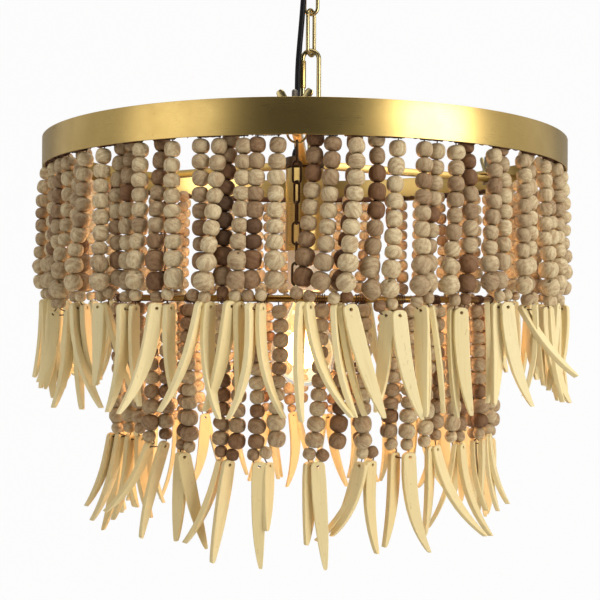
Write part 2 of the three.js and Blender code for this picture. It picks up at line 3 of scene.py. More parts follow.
import bpy
import numpy as np
from bpy.props import FloatProperty, FloatVectorProperty, IntProperty, PointerProperty
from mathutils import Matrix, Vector


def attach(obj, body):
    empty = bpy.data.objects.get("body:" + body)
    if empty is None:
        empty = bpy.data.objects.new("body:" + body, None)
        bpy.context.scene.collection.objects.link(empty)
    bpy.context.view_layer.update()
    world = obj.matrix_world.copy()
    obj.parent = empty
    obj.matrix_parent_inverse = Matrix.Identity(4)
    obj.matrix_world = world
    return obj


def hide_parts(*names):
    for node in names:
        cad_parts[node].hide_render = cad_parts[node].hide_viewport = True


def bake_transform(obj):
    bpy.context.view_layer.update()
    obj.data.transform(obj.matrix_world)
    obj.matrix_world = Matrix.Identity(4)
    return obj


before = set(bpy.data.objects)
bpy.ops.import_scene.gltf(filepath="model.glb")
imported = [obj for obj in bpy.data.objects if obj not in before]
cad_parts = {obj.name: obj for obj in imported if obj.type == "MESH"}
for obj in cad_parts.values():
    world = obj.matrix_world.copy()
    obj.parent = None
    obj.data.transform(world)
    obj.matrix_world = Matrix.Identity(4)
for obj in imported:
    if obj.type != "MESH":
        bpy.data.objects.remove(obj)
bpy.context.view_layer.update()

bl_info = {
    "name": "Beaded chandelier",
    "version": (1, 0, 0),
    "blender": (4, 5, 0),
    "location": "View3D > Sidebar > Chandelier",
    "description": "Dresses the chandelier's frame with its beads, tusks, chain, metalwork and lamp",
    "category": "Add Mesh",
}

MM = 0.001
TURN = 2 * pi
UP = np.array((0.0, 0.0, 1.0))
LAMP_X = -6.5  # The lamp's upright line, which the rings and arms lie round, in mm
ARMS = (("front", -92), ("right", 28), ("left", 148))  # Degrees from above, for arms, ears and tier chains
BOLT_AT = 275  # From the lamp's line to the arms' bolts, in mm
ROD_RADIUS, ROD_Z = 298.34, -303.4  # The rod inside the band
LOWER_RADIUS, LOWER_Z = 221, -452.47  # The lower ring
GLOBE_RADIUS, GLOBE_Z = 40, -518


# Colours are written as hex and used as linear values
def hexed(text):
    parts = [int(text[i : i + 2], 16) / 255 for i in (1, 3, 5)]
    return tuple(c / 12.92 if c <= 0.04045 else ((c + 0.055) / 1.055) ** 2.4 for c in parts)


class Sizes(bpy.types.PropertyGroup):
    """Sizes that a maker would change, in millimetres."""

    bead_radius: FloatProperty(
        name="Bead radius", description="Radius of the upper strings' beads, in mm", default=8.0, min=1
    )
    large_radius: FloatProperty(
        name="Large bead radius", description="Radius of the large beads, in mm", default=9.3, min=1
    )
    small_radius: FloatProperty(
        name="Small bead radius", description="Radius of the last bead, in mm", default=5.8, min=1
    )
    tusk_width: FloatProperty(
        name="Tusk width", description="Widest place of a tusk, in mm", default=14.8, min=1
    )
    tusk_thickness: FloatProperty(
        name="Tusk thickness", description="Thickness of a tusk, in mm", default=5.2, min=0.5
    )
    thread_radius: FloatProperty(
        name="Thread radius", description="Radius of the string, in mm", default=0.6, min=0.1
    )
    seed: IntProperty(name="Seed", description="Which set of small irregularities the strings get", default=7)


class Colours(bpy.types.PropertyGroup):
    """Colours of the finishes."""

    brass: FloatVectorProperty(
        name="Brass", description="Satin brass of the ring and chain",
        subtype="COLOR", size=3, default=hexed("#c4a868"),
    )
    bronze: FloatVectorProperty(
        name="Dark bronze", description="Dark chains and rod",
        subtype="COLOR", size=3, default=hexed("#54402c"),
    )
    bead_light: FloatVectorProperty(
        name="Light bead", description="Palest beads",
        subtype="COLOR", size=3, default=hexed("#d6c49c"),
    )
    bead_dark: FloatVectorProperty(
        name="Dark bead", description="Darkest beads",
        subtype="COLOR", size=3, default=hexed("#846140"),
    )
    tusk: FloatVectorProperty(
        name="Tusk", description="Pale wood of the tusks",
        subtype="COLOR", size=3, default=hexed("#ecdba8"),
    )
    lamp_light: FloatVectorProperty(
        name="Lamp light", description="Light of the filament",
        subtype="COLOR", size=3, default=(1.0, 0.48, 0.22),
    )


# Shader maths
class Shade:
    """One output socket of a material's node tree, with arithmetic on it."""

    def __init__(self, tree, socket):
        self.tree, self.socket = tree, socket

    def node(self, kind, settings=None, out=0, **values):
        """Adds any node: its settings first, then values or links for its sockets, by name or number."""
        made = self.tree.nodes.new(kind)
        for key, value in (settings or {}).items():
            if key == "stops":
                ramp = made.color_ramp
                while len(ramp.elements) < len(value):
                    ramp.elements.new(0.5)
                for element, (place, colour) in zip(ramp.elements, value):
                    element.position = place
                    element.color = (*colour, 1)
            else:
                setattr(made, key, value)
        for key, value in values.items():
            socket = made.inputs[int(key[1:]) if key[1:].isdigit() else key.replace("_", " ")]
            if isinstance(value, Shade):
                self.tree.links.new(value.socket, socket)
            else:
                socket.default_value = value
        return Shade(self.tree, made.outputs[out])

    def _math(self, operation, a, b):
        return self.node("ShaderNodeMath", {"operation": operation}, i0=a, i1=b)

    def __add__(self, other):
        return self._math("ADD", self, other)

    __radd__ = __add__

    def __mul__(self, other):
        return self._math("MULTIPLY", self, other)

    __rmul__ = __mul__

    def __sub__(self, other):
        return self._math("SUBTRACT", self, other)

    def __rsub__(self, other):
        return self._math("SUBTRACT", other, self)

    def __pow__(self, other):
        return self._math("POWER", self, other)

    def clipped(self, low, high):
        """This value mapped from low..high to 0..1 and held there."""
        return self.node("ShaderNodeMapRange", {"clamp": True}, Value=self, From_Min=low, From_Max=high)

    def mixed(self, a, b, blend="MIX"):
        """Colour a where this value is 0 and b where it is 1."""
        def colour(c):
            return c if isinstance(c, Shade) else (*c, 1.0)
        settings = {"data_type": "RGBA", "blend_type": blend}
        return self.node("ShaderNodeMix", settings, out=2, i0=self, i6=colour(a), i7=colour(b))

    def stretched(self, x, y, z):
        """This vector with its three parts multiplied."""
        return self.node("ShaderNodeVectorMath", {"operation": "MULTIPLY"}, i0=self, i1=(x, y, z))

    def noise(self, scale, detail=3.0, rough=0.55):
        return self.node("ShaderNodeTexNoise", None, Vector=self, Scale=scale, Detail=detail, Roughness=rough)


class Finish:
    """A named material: its node tree, its places to read and its one shader."""

    def __init__(self, name, **constants):
        self.material = bpy.data.materials.new(name)
        self.material.use_nodes = True
        self.tree = self.material.node_tree
        self.shader = self.tree.nodes["Principled BSDF"]
        for key, value in constants.items():
            self.shader.inputs[key.replace("_", " ")].default_value = value
        self.start = Shade(self.tree, None)

    def attribute(self, name, vector=False):
        return self.start.node("ShaderNodeAttribute", {"attribute_name": name}, out=1 if vector else 2)

    def place(self):
        """Place on the object, in millimetres."""
        at = self.start.node("ShaderNodeTexCoord", out=3)
        return at.stretched(1000, 1000, 1000)

    def feed(self, **sockets):
        for key, value in sockets.items():
            self.tree.links.new(value.socket, self.shader.inputs[key.replace("_", " ")])

    def bump(self, height, strength, distance):
        settings = {"Height": height, "Strength": strength, "Distance": distance * MM}
        self.feed(Normal=self.start.node("ShaderNodeBump", None, **settings))


def brass_finish(name, colour, roughness, patina):
    """Satin metal: fine brushing, cloudy tarnish and darker worn spots."""
    made = Finish(name, Metallic=1.0)
    at = made.place()
    clouds = at.noise(0.035, 4.0)
    brushing = at.stretched(0.06, 0.06, 4.0).noise(1.0, 3.0, 0.7)
    spots = at.noise(0.5, 2.0).clipped(0.62, 0.75)
    dark = tuple(c * s for c, s in zip(colour, (0.62, 0.55, 0.42)))
    cloudy = (clouds.clipped(0.35, 0.75) * patina).mixed(colour, dark)
    made.feed(Base_Color=(spots * 0.25).mixed(cloudy, dark))
    made.feed(Roughness=brushing * 0.16 + clouds * 0.1 + spots * 0.08 + (roughness - 0.13))
    made.bump(brushing, 0.12, 0.05)
    return made.material


def bead_finish(name, colours):
    """Turned wood: each bead has its own tone and its own run of grain; the tone of a further leg's beads
    also holds painted shade.
    """
    made = Finish(name, Metallic=0.0, Specular_IOR_Level=0.32)
    grain, tone = made.attribute("grain", True), made.attribute("tone")
    fibres = grain.stretched(0.16, 1.0, 1.0).noise(1.25, 4.0, 0.65)
    rings = grain.stretched(0.03, 0.5, 0.32).noise(0.75, 2.0, 0.5)
    pores = grain.stretched(0.3, 2.6, 2.6).noise(1.0, 2.0).clipped(0.6, 0.72)
    dark, light = tuple(colours.bead_dark), tuple(colours.bead_light)
    middle = tuple(0.45 * a + 0.55 * b for a, b in zip(dark, light))
    stops = [(0.0, tuple(0.42 * c for c in dark)), (0.3, dark), (0.62, middle), (1.0, light)]
    base = tone.node("ShaderNodeValToRGB", {"stops": stops}, Fac=tone)
    figured = ((rings - 0.5) * 2.8 + (fibres - 0.5) * 2.2 + 0.42).clipped(0.0, 1.0)
    warm = (figured * 0.6).mixed(base, hexed("#a5774d"), "MULTIPLY")
    made.feed(Base_Color=(pores * 0.65).mixed(warm, hexed("#54392a")))
    made.feed(Roughness=fibres * 0.25 + pores * 0.12 + 0.5)
    made.bump(fibres - pores * 0.8, 0.35, 0.25)
    return made.material


def tusk_finish(name, colour):
    """Pale split wood: fibres along the tusk, a few darker streaks and knots."""
    made = Finish(name, Metallic=0.0, Specular_IOR_Level=0.4)
    grain, tone = made.attribute("grain", True), made.attribute("tone")
    fibres = grain.stretched(2.2, 2.2, 0.06).noise(1.0, 4.0, 0.6)
    streaks = grain.stretched(0.5, 0.5, 0.02).noise(1.0, 2.0).clipped(0.56, 0.75)
    marks = grain.stretched(0.3, 0.3, 0.16).noise(1.0, 2.0).clipped(0.66, 0.76)
    base = tone.mixed(hexed("#dcc58c"), colour)
    streaked = (streaks * 0.35).mixed(base, hexed("#cfb175"))
    fine = (fibres.clipped(0.3, 0.75) * 0.22).mixed(streaked, hexed("#d2b87c"))
    made.feed(Base_Color=(marks * 0.3).mixed(fine, hexed("#a5793f")))
    made.feed(Roughness=fibres * 0.2 + 0.42)
    made.bump(fibres, 0.25, 0.2)
    return made.material


def thread_finish(name, light, dark):
    """Waxed twine: two tones twisted round each other."""
    made = Finish(name, Metallic=0.0, Specular_IOR_Level=0.3)
    at = made.place()
    twist = at.noise(1.6, 3.0)
    fuzz = at.noise(6.0, 2.0)
    made.feed(Base_Color=twist.clipped(0.35, 0.65).mixed(dark, light), Roughness=fuzz * 0.2 + 0.65)
    made.bump(fuzz, 0.5, 0.15)
    return made.material


def coated_finish(name, colour, roughness, coat, grain_size, depth, dust=0.2, shine=0.5):
    """A plain coating, such as a glaze or a rubber jacket, with faint unevenness and dust."""
    made = Finish(name, Metallic=0.0, Coat_Weight=coat, Coat_Roughness=0.12, Specular_IOR_Level=shine)
    at = made.place()
    clouds, grain = at.noise(0.06, 3.0), at.noise(grain_size, 2.0)
    dusty = tuple((1 - dust) * c + dust * d for c, d in zip(colour, (0.42, 0.38, 0.32)))
    made.feed(Base_Color=(clouds.clipped(0.35, 0.8) * 0.5).mixed(colour, dusty))
    made.feed(Roughness=grain * 0.14 + (roughness - 0.07))
    made.bump(grain, 0.3, depth)
    return made.material


def glass_finish(name, tint):
    """Thin clear glass with a warm tint and faint smears, and a painted warm glow of the lit filament,
    stronger higher up.
    """
    made = Finish(name, Metallic=0.0, IOR=1.12, Transmission_Weight=1.0, Emission_Strength=0.2)
    at = made.place()
    smears = at.noise(0.08, 3.0).clipped(0.45, 0.8)
    # Painted glow: a warm emission that grows towards the top of the globe stands in for the filament's light
    # in the glass
    height = at.node("ShaderNodeSeparateXYZ", None, out=2, Vector=at)
    glow = height.clipped(-600.0, -492.0)
    made.feed(Base_Color=(smears * 0.25).mixed(tint, tuple(0.9 * c for c in tint)))
    made.feed(Roughness=smears * 0.05 + 0.01)
    made.feed(Emission_Color=(glow * (smears * 0.2 + 0.8)).mixed((0.0, 0.0, 0.0), (1.0, 0.84, 0.46)))
    return made.material


def glowing_finish(name, colour, strength):
    """Glowing wire, a little uneven along its length."""
    made = Finish(name, Emission_Strength=strength, Roughness=0.6)
    flicker = made.place().noise(0.3, 2.0)
    hot = tuple(min(1.0, c * 1.3) for c in colour)
    mixed = flicker.mixed(colour, hot)
    made.feed(Base_Color=mixed, Emission_Color=mixed)
    return made.material


# Meshes, all in millimetres until an object is made
class Shape:
    """Vertices, faces and per-vertex values of a growing mesh."""

    def __init__(self, *solids):
        self.points, self.faces, self.marks, self.count = [], [], [], 0
        self.values = {"grain": [], "tone": []}
        for solid in solids:
            self.merge(solid)

    def add(self, points, faces, mark=0, grain=None, tone=1.0):
        points = np.asarray(points, float).reshape(-1, 3)
        self.points.append(points)
        self.faces.extend([tuple(i + self.count for i in face) for face in faces])
        self.marks.extend([mark] * len(faces))
        self.values["grain"].append(points if grain is None else grain)
        self.values["tone"].append(np.broadcast_to(tone, len(points)))
        self.count += len(points)

    def merge(self, solid, mark=0):
        self.add(*solid, mark)


def turned(profile, sides=32, at=(0, 0, 0), close=False):
    """A turned shape round Z from (radius, height) pairs; pairs on the axis become one point."""
    turns = [TURN * s / sides for s in range(sides)]
    points, rows = [], []
    for radius, height in profile:
        if radius < 1e-6:
            rows.append([len(points)] * sides)
            points.append((0, 0, height))
        else:
            rows.append(list(range(len(points), len(points) + sides)))
            points.extend((radius * cos(t), radius * sin(t), height) for t in turns)
    if close:
        rows.append(rows[0])
    faces = []
    for low, high in zip(rows, rows[1:]):
        for s in range(sides):
            t = (s + 1) % sides
            face = []
            for corner in (low[s], low[t], high[t], high[s]):
                if corner not in face:
                    face.append(corner)
            if len(face) > 2:
                faces.append(tuple(face))
    return np.array(points, float) + np.array(at, float), faces


def softened(points, radius, steps=3, closed=False):
    """A polyline with each corner rounded off."""
    points = [np.array(p, float) for p in points]
    count = len(points)
    result = []
    for i, p in enumerate(points):
        if not closed and i in (0, count - 1):
            result.append(p)
            continue
        before, after = points[i - 1] - p, points[(i + 1) % count] - p
        reach = [min(radius, 0.45 * np.linalg.norm(v)) for v in (before, after)]
        a = p + before / np.linalg.norm(before) * reach[0]
        b = p + after / np.linalg.norm(after) * reach[1]
        for k in range(steps + 1):
            t = k / steps
            result.append((1 - t) ** 2 * a + 2 * t * (1 - t) * p + t * t * b)
    return result


def lathe(profile, bevel, sides, x=0.0, y=0.0, steps=3, tube=False):
    """A turned shape with softened corners. A tube's profile is a closed line."""
    line = softened(profile, bevel, steps, tube)
    return turned(line[::-1] if tube else line, sides, (x, y, 0), tube)


def powered(value, exponent):
    """A power that keeps the sign."""
    return copysign(abs(value) ** exponent, value)


def swept(path, radius, sides=12, closed=False):
    """A round bar along a path, with a frame that doesn't twist."""
    path = np.asarray(path, float)
    if closed:
        along = np.roll(path, -1, 0) - np.roll(path, 1, 0)
    else:
        along = np.gradient(path, axis=0)
    along /= np.linalg.norm(along, axis=1)[:, None]
    side = np.cross(along[0], (0.0, 0.0, 1.0) if abs(along[0][2]) < 0.9 else (1.0, 0.0, 0.0))
    sides_at = []
    for direction in along:
        side = side - direction * (side @ direction)
        side = side / np.linalg.norm(side)
        sides_at.append(side)
    sides_at = np.array(sides_at)
    others = np.cross(along, sides_at)
    angles = (TURN * np.arange(sides) / sides)[None, :, None]
    rings = path[:, None] + radius * (np.cos(angles) * sides_at[:, None] + np.sin(angles) * others[:, None])
    return lofted(rings, closed)


def lofted(rings, closed=False):
    """A surface through rings with the same number of points each."""
    rings = np.asarray(rings, float)
    rows, sides = rings.shape[:2]
    faces = []
    for i in range(rows if closed else rows - 1):
        j = (i + 1) % rows
        for s in range(sides):
            t = (s + 1) % sides
            faces.append((i * sides + s, i * sides + t, j * sides + t, j * sides + s))
    if not closed:
        faces.append(tuple(reversed(range(sides))))
        faces.append(tuple(range((rows - 1) * sides, rows * sides)))
    return rings.reshape(-1, 3), faces


def block(size, bevel, at=(0, 0, 0)):
    """A bar of square section along X with softened edges and ends."""
    length, width, height = (s / 2 for s in size)
    ring = [(-width, -height), (width, -height), (width, height), (-width, height)]
    rings = []
    for x, inset in ((-length, bevel), (-length + bevel, 0), (length - bevel, 0), (length, bevel)):
        shrunk = [(y * (1 - inset / width), z * (1 - inset / height)) for y, z in ring]
        rings.append([(x, y, z) for y, z in softened(shrunk, bevel, 2, True)])
    points, faces = lofted(rings)
    return points + np.array(at, float), faces


def spun(solid, angle):
    """The same mesh turned about Z."""
    points, faces = solid
    c, s = cos(angle), sin(angle)
    x, y = points[:, 0], points[:, 1]
    return np.c_[c * x - s * y, s * x + c * y, points[:, 2]], faces


def moved(solid, x=0.0, y=0.0, z=0.0):
    return solid[0] + np.array((x, y, z), float), solid[1]


def round_lamp(solid, degrees, x=0.0, z=0.0):
    """The same mesh moved out and then turned round the lamp's line."""
    return moved(spun(moved(solid, x, 0, z), radians(degrees)), LAMP_X)


def oval(length, width, wire, z, steps):
    """The middle line of an upright wire link that is wide along X."""
    radius = (width - wire) / 2
    stretch = (length - width) / 2
    points = []
    for k in range(steps):
        turn = TURN * (k + 0.5) / steps
        up = radius * sin(turn)
        up += stretch if up > 0 else -stretch
        points.append((radius * cos(turn), 0, z + up))
    return densified(points)


def densified(points):
    """A closed line with extra points where it runs straight."""
    result = []
    for a, b in zip(points, points[1:] + points[:1]):
        a, b = np.array(a, float), np.array(b, float)
        pieces = max(1, round(np.linalg.norm(b - a) / 6))
        result.extend(a + (b - a) * k / pieces for k in range(pieces))
    return result


def hoop(radius, wire, z, plane, steps, sides):
    """A round ring of wire that lies square to the axis named."""
    turn = TURN * np.arange(steps) / steps
    flat = [radius * np.cos(turn), radius * np.sin(turn), np.zeros(steps)]
    order = {"z": (0, 1, 2), "x": (2, 0, 1), "y": (0, 2, 1)}[plane]
    path = np.array([flat[i] for i in order]).T
    path[:, 2] += z
    return swept(path, wire / 2, sides, True)


def linked(name, data):
    """A new object in the scene."""
    made = bpy.data.objects.new(name, data)
    bpy.context.scene.collection.objects.link(made)
    return made


def piece(name, shape, body, finish, replaces=None, angle=38, values=False):
    """Makes the object in metres, hands it its finishes and lets it ride on its body."""
    mesh = bpy.data.meshes.new(name)
    points = np.concatenate(shape.points) * MM
    mesh.from_pydata(points, [], shape.faces)
    mesh.polygons.foreach_set("use_smooth", [True] * len(mesh.polygons))
    mesh.polygons.foreach_set("material_index", shape.marks)
    if angle:
        mesh.set_sharp_from_angle(angle=radians(angle))
    if values:
        for key, kind, field in (("grain", "FLOAT_VECTOR", "vector"), ("tone", "FLOAT", "value")):
            layer = mesh.attributes.new(key, kind, "POINT")
            layer.data.foreach_set(field, np.concatenate(shape.values[key]).astype(np.float32).ravel())
    for key in finish.split():
        mesh.materials.append(finishes()[key])
    made = linked(name, mesh)
    if body:
        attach(made, body)
    if replaces:
        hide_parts(replaces)
    return made


FINISHES = {}


def finishes():
    """The materials, made once from the chosen colours."""
    if not FINISHES:
        c = bpy.context.scene.chandelier_colours
        pale_brass = tuple(0.4 * v + 0.6 * w for v, w in zip(c.brass, hexed("#aaa482")))
        FINISHES.update(
            brass=brass_finish("satin_brass", tuple(c.brass), 0.3, 0.35),
            link=brass_finish("chain_brass", pale_brass, 0.26, 0.5),
            old_brass=brass_finish("old_brass", hexed("#8f6f3c"), 0.27, 0.8),
            bronze=brass_finish("dark_bronze", tuple(c.bronze), 0.38, 0.7),
            steel=brass_finish("dark_steel", hexed("#7d766a"), 0.36, 0.5),
            cap=brass_finish("cap_brass", hexed("#cdb27a"), 0.26, 0.3),
            bead=bead_finish("bead_wood", c),
            tusk=tusk_finish("tusk_wood", tuple(c.tusk)),
            thread=thread_finish("dark_twine", hexed("#6b4a35"), hexed("#3a241a")),
            rubber=coated_finish("black_jacket", hexed("#0b0b0f"), 0.5, 0.0, 1.2, 0.05, 0.025, 0.16),
            glaze=coated_finish("cream_glaze", hexed("#e6dcc2"), 0.3, 0.6, 0.4, 0.05),
            glass=glass_finish("clear_glass", (1.0, 0.93, 0.74)),
            filament=glowing_finish("glowing_filament", (1.0, 0.66, 0.3), 30.0),
        )
    return FINISHES


# Camera, floor and lights
CAMERA_AT = (-0.0065, -1.151, -0.4522)
FLOOR_Z = -1.9
LIT_PLACE = (0, 0, -0.42)


def area_light(name, energy, size, place, colour):
    data = bpy.data.lights.new(name, "AREA")
    data.shape = "RECTANGLE"
    data.size, data.size_y = size
    data.energy, data.color = energy, colour
    made = linked(name, data)
    made.location = place
    made.rotation_euler = (Vector(LIT_PLACE) - Vector(place)).to_track_quat("-Z", "Y").to_euler()


class CHANDELIER_OT_stage(bpy.types.Operator):
    """Floor, backdrop, lights and the camera"""

    bl_idname = "chandelier.stage"
    bl_label = "Stage and camera"

    def execute(self, context):
        scene = context.scene
        camera = linked("camera", bpy.data.cameras.new("camera"))
        camera.data.lens = 57.4
        camera.data.shift_x, camera.data.shift_y = -0.0067, -0.0025
        camera.data.clip_end = 50
        camera.location = CAMERA_AT
        camera.rotation_euler = (radians(90), radians(-0.34), 0)
        scene.camera = camera

        pale = bpy.data.materials.new("pale_stage")
        pale.use_nodes = True
        tree = pale.node_tree
        start = Shade(tree, None)
        # Even and pale to the camera, in sharp mirrors and through glass; an ordinary surface to other light
        shader = tree.nodes["Principled BSDF"]
        shader.inputs["Base Color"].default_value = (0.86, 0.855, 0.84, 1)
        shader.inputs["Roughness"].default_value = 0.9
        rays = [start.node("ShaderNodeLightPath", out=i) for i in (0, 4, 6)]
        seen = (rays[0] + rays[1] * 0.9 + rays[2]).clipped(0.0, 1.0)
        white = start.node("ShaderNodeEmission", None, Color=(1, 1, 1, 1), Strength=1.0)
        plain = Shade(tree, shader.outputs[0])
        mix = start.node("ShaderNodeMixShader", None, i0=seen * 0.96, i1=plain, i2=white)
        tree.links.new(mix.socket, tree.nodes["Material Output"].inputs[0])
        turns = np.linspace(0.15, 1.5, 8)
        bend = [(2.2 + 1.2 * sin(t), FLOOR_Z + 1.2 - 1.2 * cos(t)) for t in turns]
        line = [(-4.5, FLOOR_Z), (2.2, FLOOR_Z), *bend, (3.42, 3.2)]
        points = [(x, y, z) for y, z in line for x in (-5, 5)]
        faces = [(2 * i, 2 * i + 1, 2 * i + 3, 2 * i + 2) for i in range(len(line) - 1)]
        mesh = bpy.data.meshes.new("backdrop")
        mesh.from_pydata(points, [], faces)
        mesh.polygons.foreach_set("use_smooth", [True] * len(mesh.polygons))
        mesh.materials.append(pale)
        backdrop = linked("backdrop", mesh)

        world = bpy.data.worlds.new("studio")
        scene.world = world
        world.use_nodes = True
        tree = world.node_tree
        start = Shade(tree, None)
        background = tree.nodes["Background"]
        rays = [start.node("ShaderNodeLightPath", out=i) for i in (0, 6)]
        level = (rays[0] + rays[1]).clipped(0.0, 1.0)
        room = start.node("ShaderNodeTexCoord", out=0)
        front = start.node("ShaderNodeSeparateXYZ", None, out=1, Vector=room)
        tone = (front.clipped(-1.0, 0.3) ** 1.5).mixed((0.045, 0.043, 0.04), (0.78, 0.77, 0.76))
        tree.links.new(level.mixed(tone, (1.0, 1.0, 1.0)).socket, background.inputs["Color"])

        area_light("key_light", 64, (1.6, 1.6), (2.25, -1.9, 0.1), (1, 0.98, 0.94))
        area_light("fill_light", 19, (2.0, 1.8), (-2.2, -1.8, 0.1), (1, 0.98, 0.95))
        area_light("top_light", 28, (1.8, 1.8), (0.3, -0.6, 1.7), (1, 0.99, 0.97))
        scene.view_settings.view_transform = "Standard"
        return {"FINISHED"}


# Cord route, repeated from the part's source
CORD_ROUTE = [
    (-6.5, -24, -38.6), (-6.5, -24, -46), (-6.7, -22.5, -55), (-7.2, -18, -66), (-8, -13, -78),
    (-8.9, -10, -90), (-9.8, -8.6, -103), (-10.9, -8.2, -118), (-12.2, -8.1, -134), (-13.6, -7.8, -151),
    (-14.9, -7.2, -169), (-15.6, -6.8, -187), (-15.8, -6.2, -206), (-15.9, -5, -224), (-16, -3.4, -240),
    (-16, -2.3, -253), (-16, -2, -263), (-16, -2, -272.8),
]
CORD_DIAMETER = 6.7


def smooth_route(points, steps=8):
    """A centripetal curve through the points."""

    def between(a, b, ta, tb, t):
        return (tb - t) / (tb - ta) * a + (t - ta) / (tb - ta) * b

    points = [np.array(p, float) for p in points]
    points = [2 * points[0] - points[1], *points, 2 * points[-1] - points[-2]]
    result = []
    for p in zip(points, points[1:], points[2:], points[3:]):
        knots = [0.0]
        for a, b in zip(p, p[1:]):
            knots.append(knots[-1] + np.linalg.norm(b - a) ** 0.5)
        for k in range(steps):
            t = knots[1] + (knots[2] - knots[1]) * k / steps
            first = [between(p[m], p[m + 1], knots[m], knots[m + 1], t) for m in range(3)]
            second = [between(first[m], first[m + 1], knots[m], knots[m + 2], t) for m in range(2)]
            result.append(between(*second, knots[1], knots[2], t))
    result.append(points[-2])
    return np.array(result)


class CHANDELIER_OT_cord(bpy.types.Operator):
    """Power cord, in four stretches"""

    bl_idname = "chandelier.cord"
    bl_label = "Power cord"

    def execute(self, context):
        route = smooth_route(CORD_ROUTE)
        stretches = [
            ("cord_canopy", -89, "root", "upper_link", -55.85),
            ("cord_chain", -139, "upper_link", "lower_link", -105.35),
            ("cord_hanger", -203, "lower_link", "hanger", -154.3),
            ("cord_hub", -300, "hanger", "fixture", -232.4),
        ]
        start = 0
        for i, (name, low, above, below, pivot) in enumerate(stretches):
            ends = [k for k, p in enumerate(route) if p[2] <= low]
            end = ends[0] if ends else len(route) - 1
            path = route[start : end + 1]
            cord = Shape(swept(path, CORD_DIAMETER / 2, 20))
            made = piece(name, cord, None, "rubber", None if i else "power_cord")
            middle = path[np.argmin(abs(path[:, 2] - pivot))]
            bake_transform(made)
            tuple(path[0] * MM)
            [tuple(p * MM) for p in path]
            start = end
        return {"FINISHED"}


def grip(place, z, way):
    """Tapered and ribbed cord grip, pointing down (-1) or up (1)."""
    profile = [(0, -9.6), (3.4, -9.6), (4.2, -10), (4.6, -9.2), (5.9, -5), (6, -1.2), (6, 0), (0, 0)]
    made = Shape(lathe([(r, z - way * h) for r, h in profile][::-way], 0.5, 24, *place))
    for k in range(5):
        made.merge(moved(hoop(5.45 - k * 0.22, 0.55, z + way * (4.6 + k * 1.1), "z", 24, 6), *place))
    return made


class CHANDELIER_OT_canopy(bpy.types.Operator):
    """Crossbar, canopy, collar, loop and the cord grip under the ceiling"""

    bl_idname = "chandelier.canopy"
    bl_label = "Canopy"

    def execute(self, context):
        bar = Shape(block((96, 18, 2.5), 0.5, (0, 0, -1.25)))
        screw = [(0, -5.2), (3.2, -5.2), (4.1, -3.4), (4.1, -2.7), (0, -2.7)]
        for x in (-34, 34):
            bar.merge(lathe(screw, 0.6, 24, x), mark=1)
        piece("crossbar_plate", bar, "root", "steel cap", "crossbar")

        def bend(radius):
            turns = [pi / 2 * k / 12 for k in range(13)]
            return [(34 + radius * cos(t), -radius * sin(t)) for t in turns]

        rim = [(60.5, 0.0), (61.2, 0.0), (62.0, -0.6)]
        profile = rim + bend(28)[1:] + [(5.3, -28), (5.3, -26.5)] + bend(26.5)[::-1][:-1]
        shell = Shape(turned(profile[::-1], 96, close=True))
        piece("canopy_shell", shell, "root", "brass", "ceiling_canopy", 30)
        shank = [(0, -41.5), (4.9, -41.5), (4.9, -0.6), (0, -0.6)]
        loop = Shape(hoop(10.5, 5, -50.6, "x", 48, 16), lathe(shank, 0.5, 24))
        for k in range(9):
            loop.merge(hoop(4.85, 0.6, -12.0 - k * 1.4, "z", 24, 6))
        piece("canopy_loop_ring", loop, "root", "link", "canopy_loop")
        collar = [(5.3, -28.3), (5.3, -37.3), (8.5, -37.3), (10.2, -35.6), (12, -32.8), (12, -28.3)]
        ring = Shape(lathe(collar, 0.8, 64, tube=True))
        for k in range(36):
            ring.merge(spun(block((1.1, 0.5, 3.4), 0.15, (12.0, 0, -30.6)), TURN * k / 36))
        piece("collar_knurled", ring, "collar", "brass", "collar_ring")
        held = grip((-6.5, -24), -28.3, -1)
        piece("canopy_grip", held, "root", "rubber", "canopy_cord_grip")
        return {"FINISHED"}


class CHANDELIER_OT_chain(bpy.types.Operator):
    """The chain's links, the hanger link and its sleeve"""

    bl_idname = "chandelier.chain"
    bl_label = "Chain"

    def execute(self, context):
        for name, body, z, yaw, node in (
            ("link_above", "upper_link", -83.1, 0.0, "chain_link_upper"),
            ("link_below", "lower_link", -132.6, radians(60), "chain_link_lower"),
        ):
            link = Shape(spun(swept(oval(59, 20, 4.5, z, 44), 2.25, 14, True), yaw))
            seam = moved(hoop(2.27, 0.25, 0, "z", 20, 6), 7.75, 0, z)
            link.merge(spun(seam, yaw), mark=1)
            piece(name, link, body, "link bronze", node)
        # The hanger is open on its left leg, between these heights, and the sleeve closes it
        low, high = -181.6, -172.6
        wire = [p for p in oval(90, 25, 5.6, -196.5, 48) if not (p[0] < -9 and low < p[2] < high)]
        after = wire[1:] + wire[:1]
        start = [p[0] < -9 and p[2] >= high and q[2] <= low for p, q in zip(wire, after)].index(True) + 1
        hanger = Shape(swept(wire[start:] + wire[:start], 2.8, 14))
        piece("hanger_wire", hanger, "hanger", "link", "hanger_link")
        tube = [(3.1, -166.7), (3.1, -199.2), (4.0, -199.2), (4.0, -166.7)]
        sleeve = Shape(lathe(tube, 0.3, 32, -9.7, steps=2, tube=True))
        for z in (-169.5, -196.4):
            sleeve.merge(moved(hoop(4.0, 0.4, z, "z", 32, 6), -9.7))
        piece("hanger_barrel", sleeve, "sleeve", "brass", "hanger_sleeve")
        return {"FINISHED"}


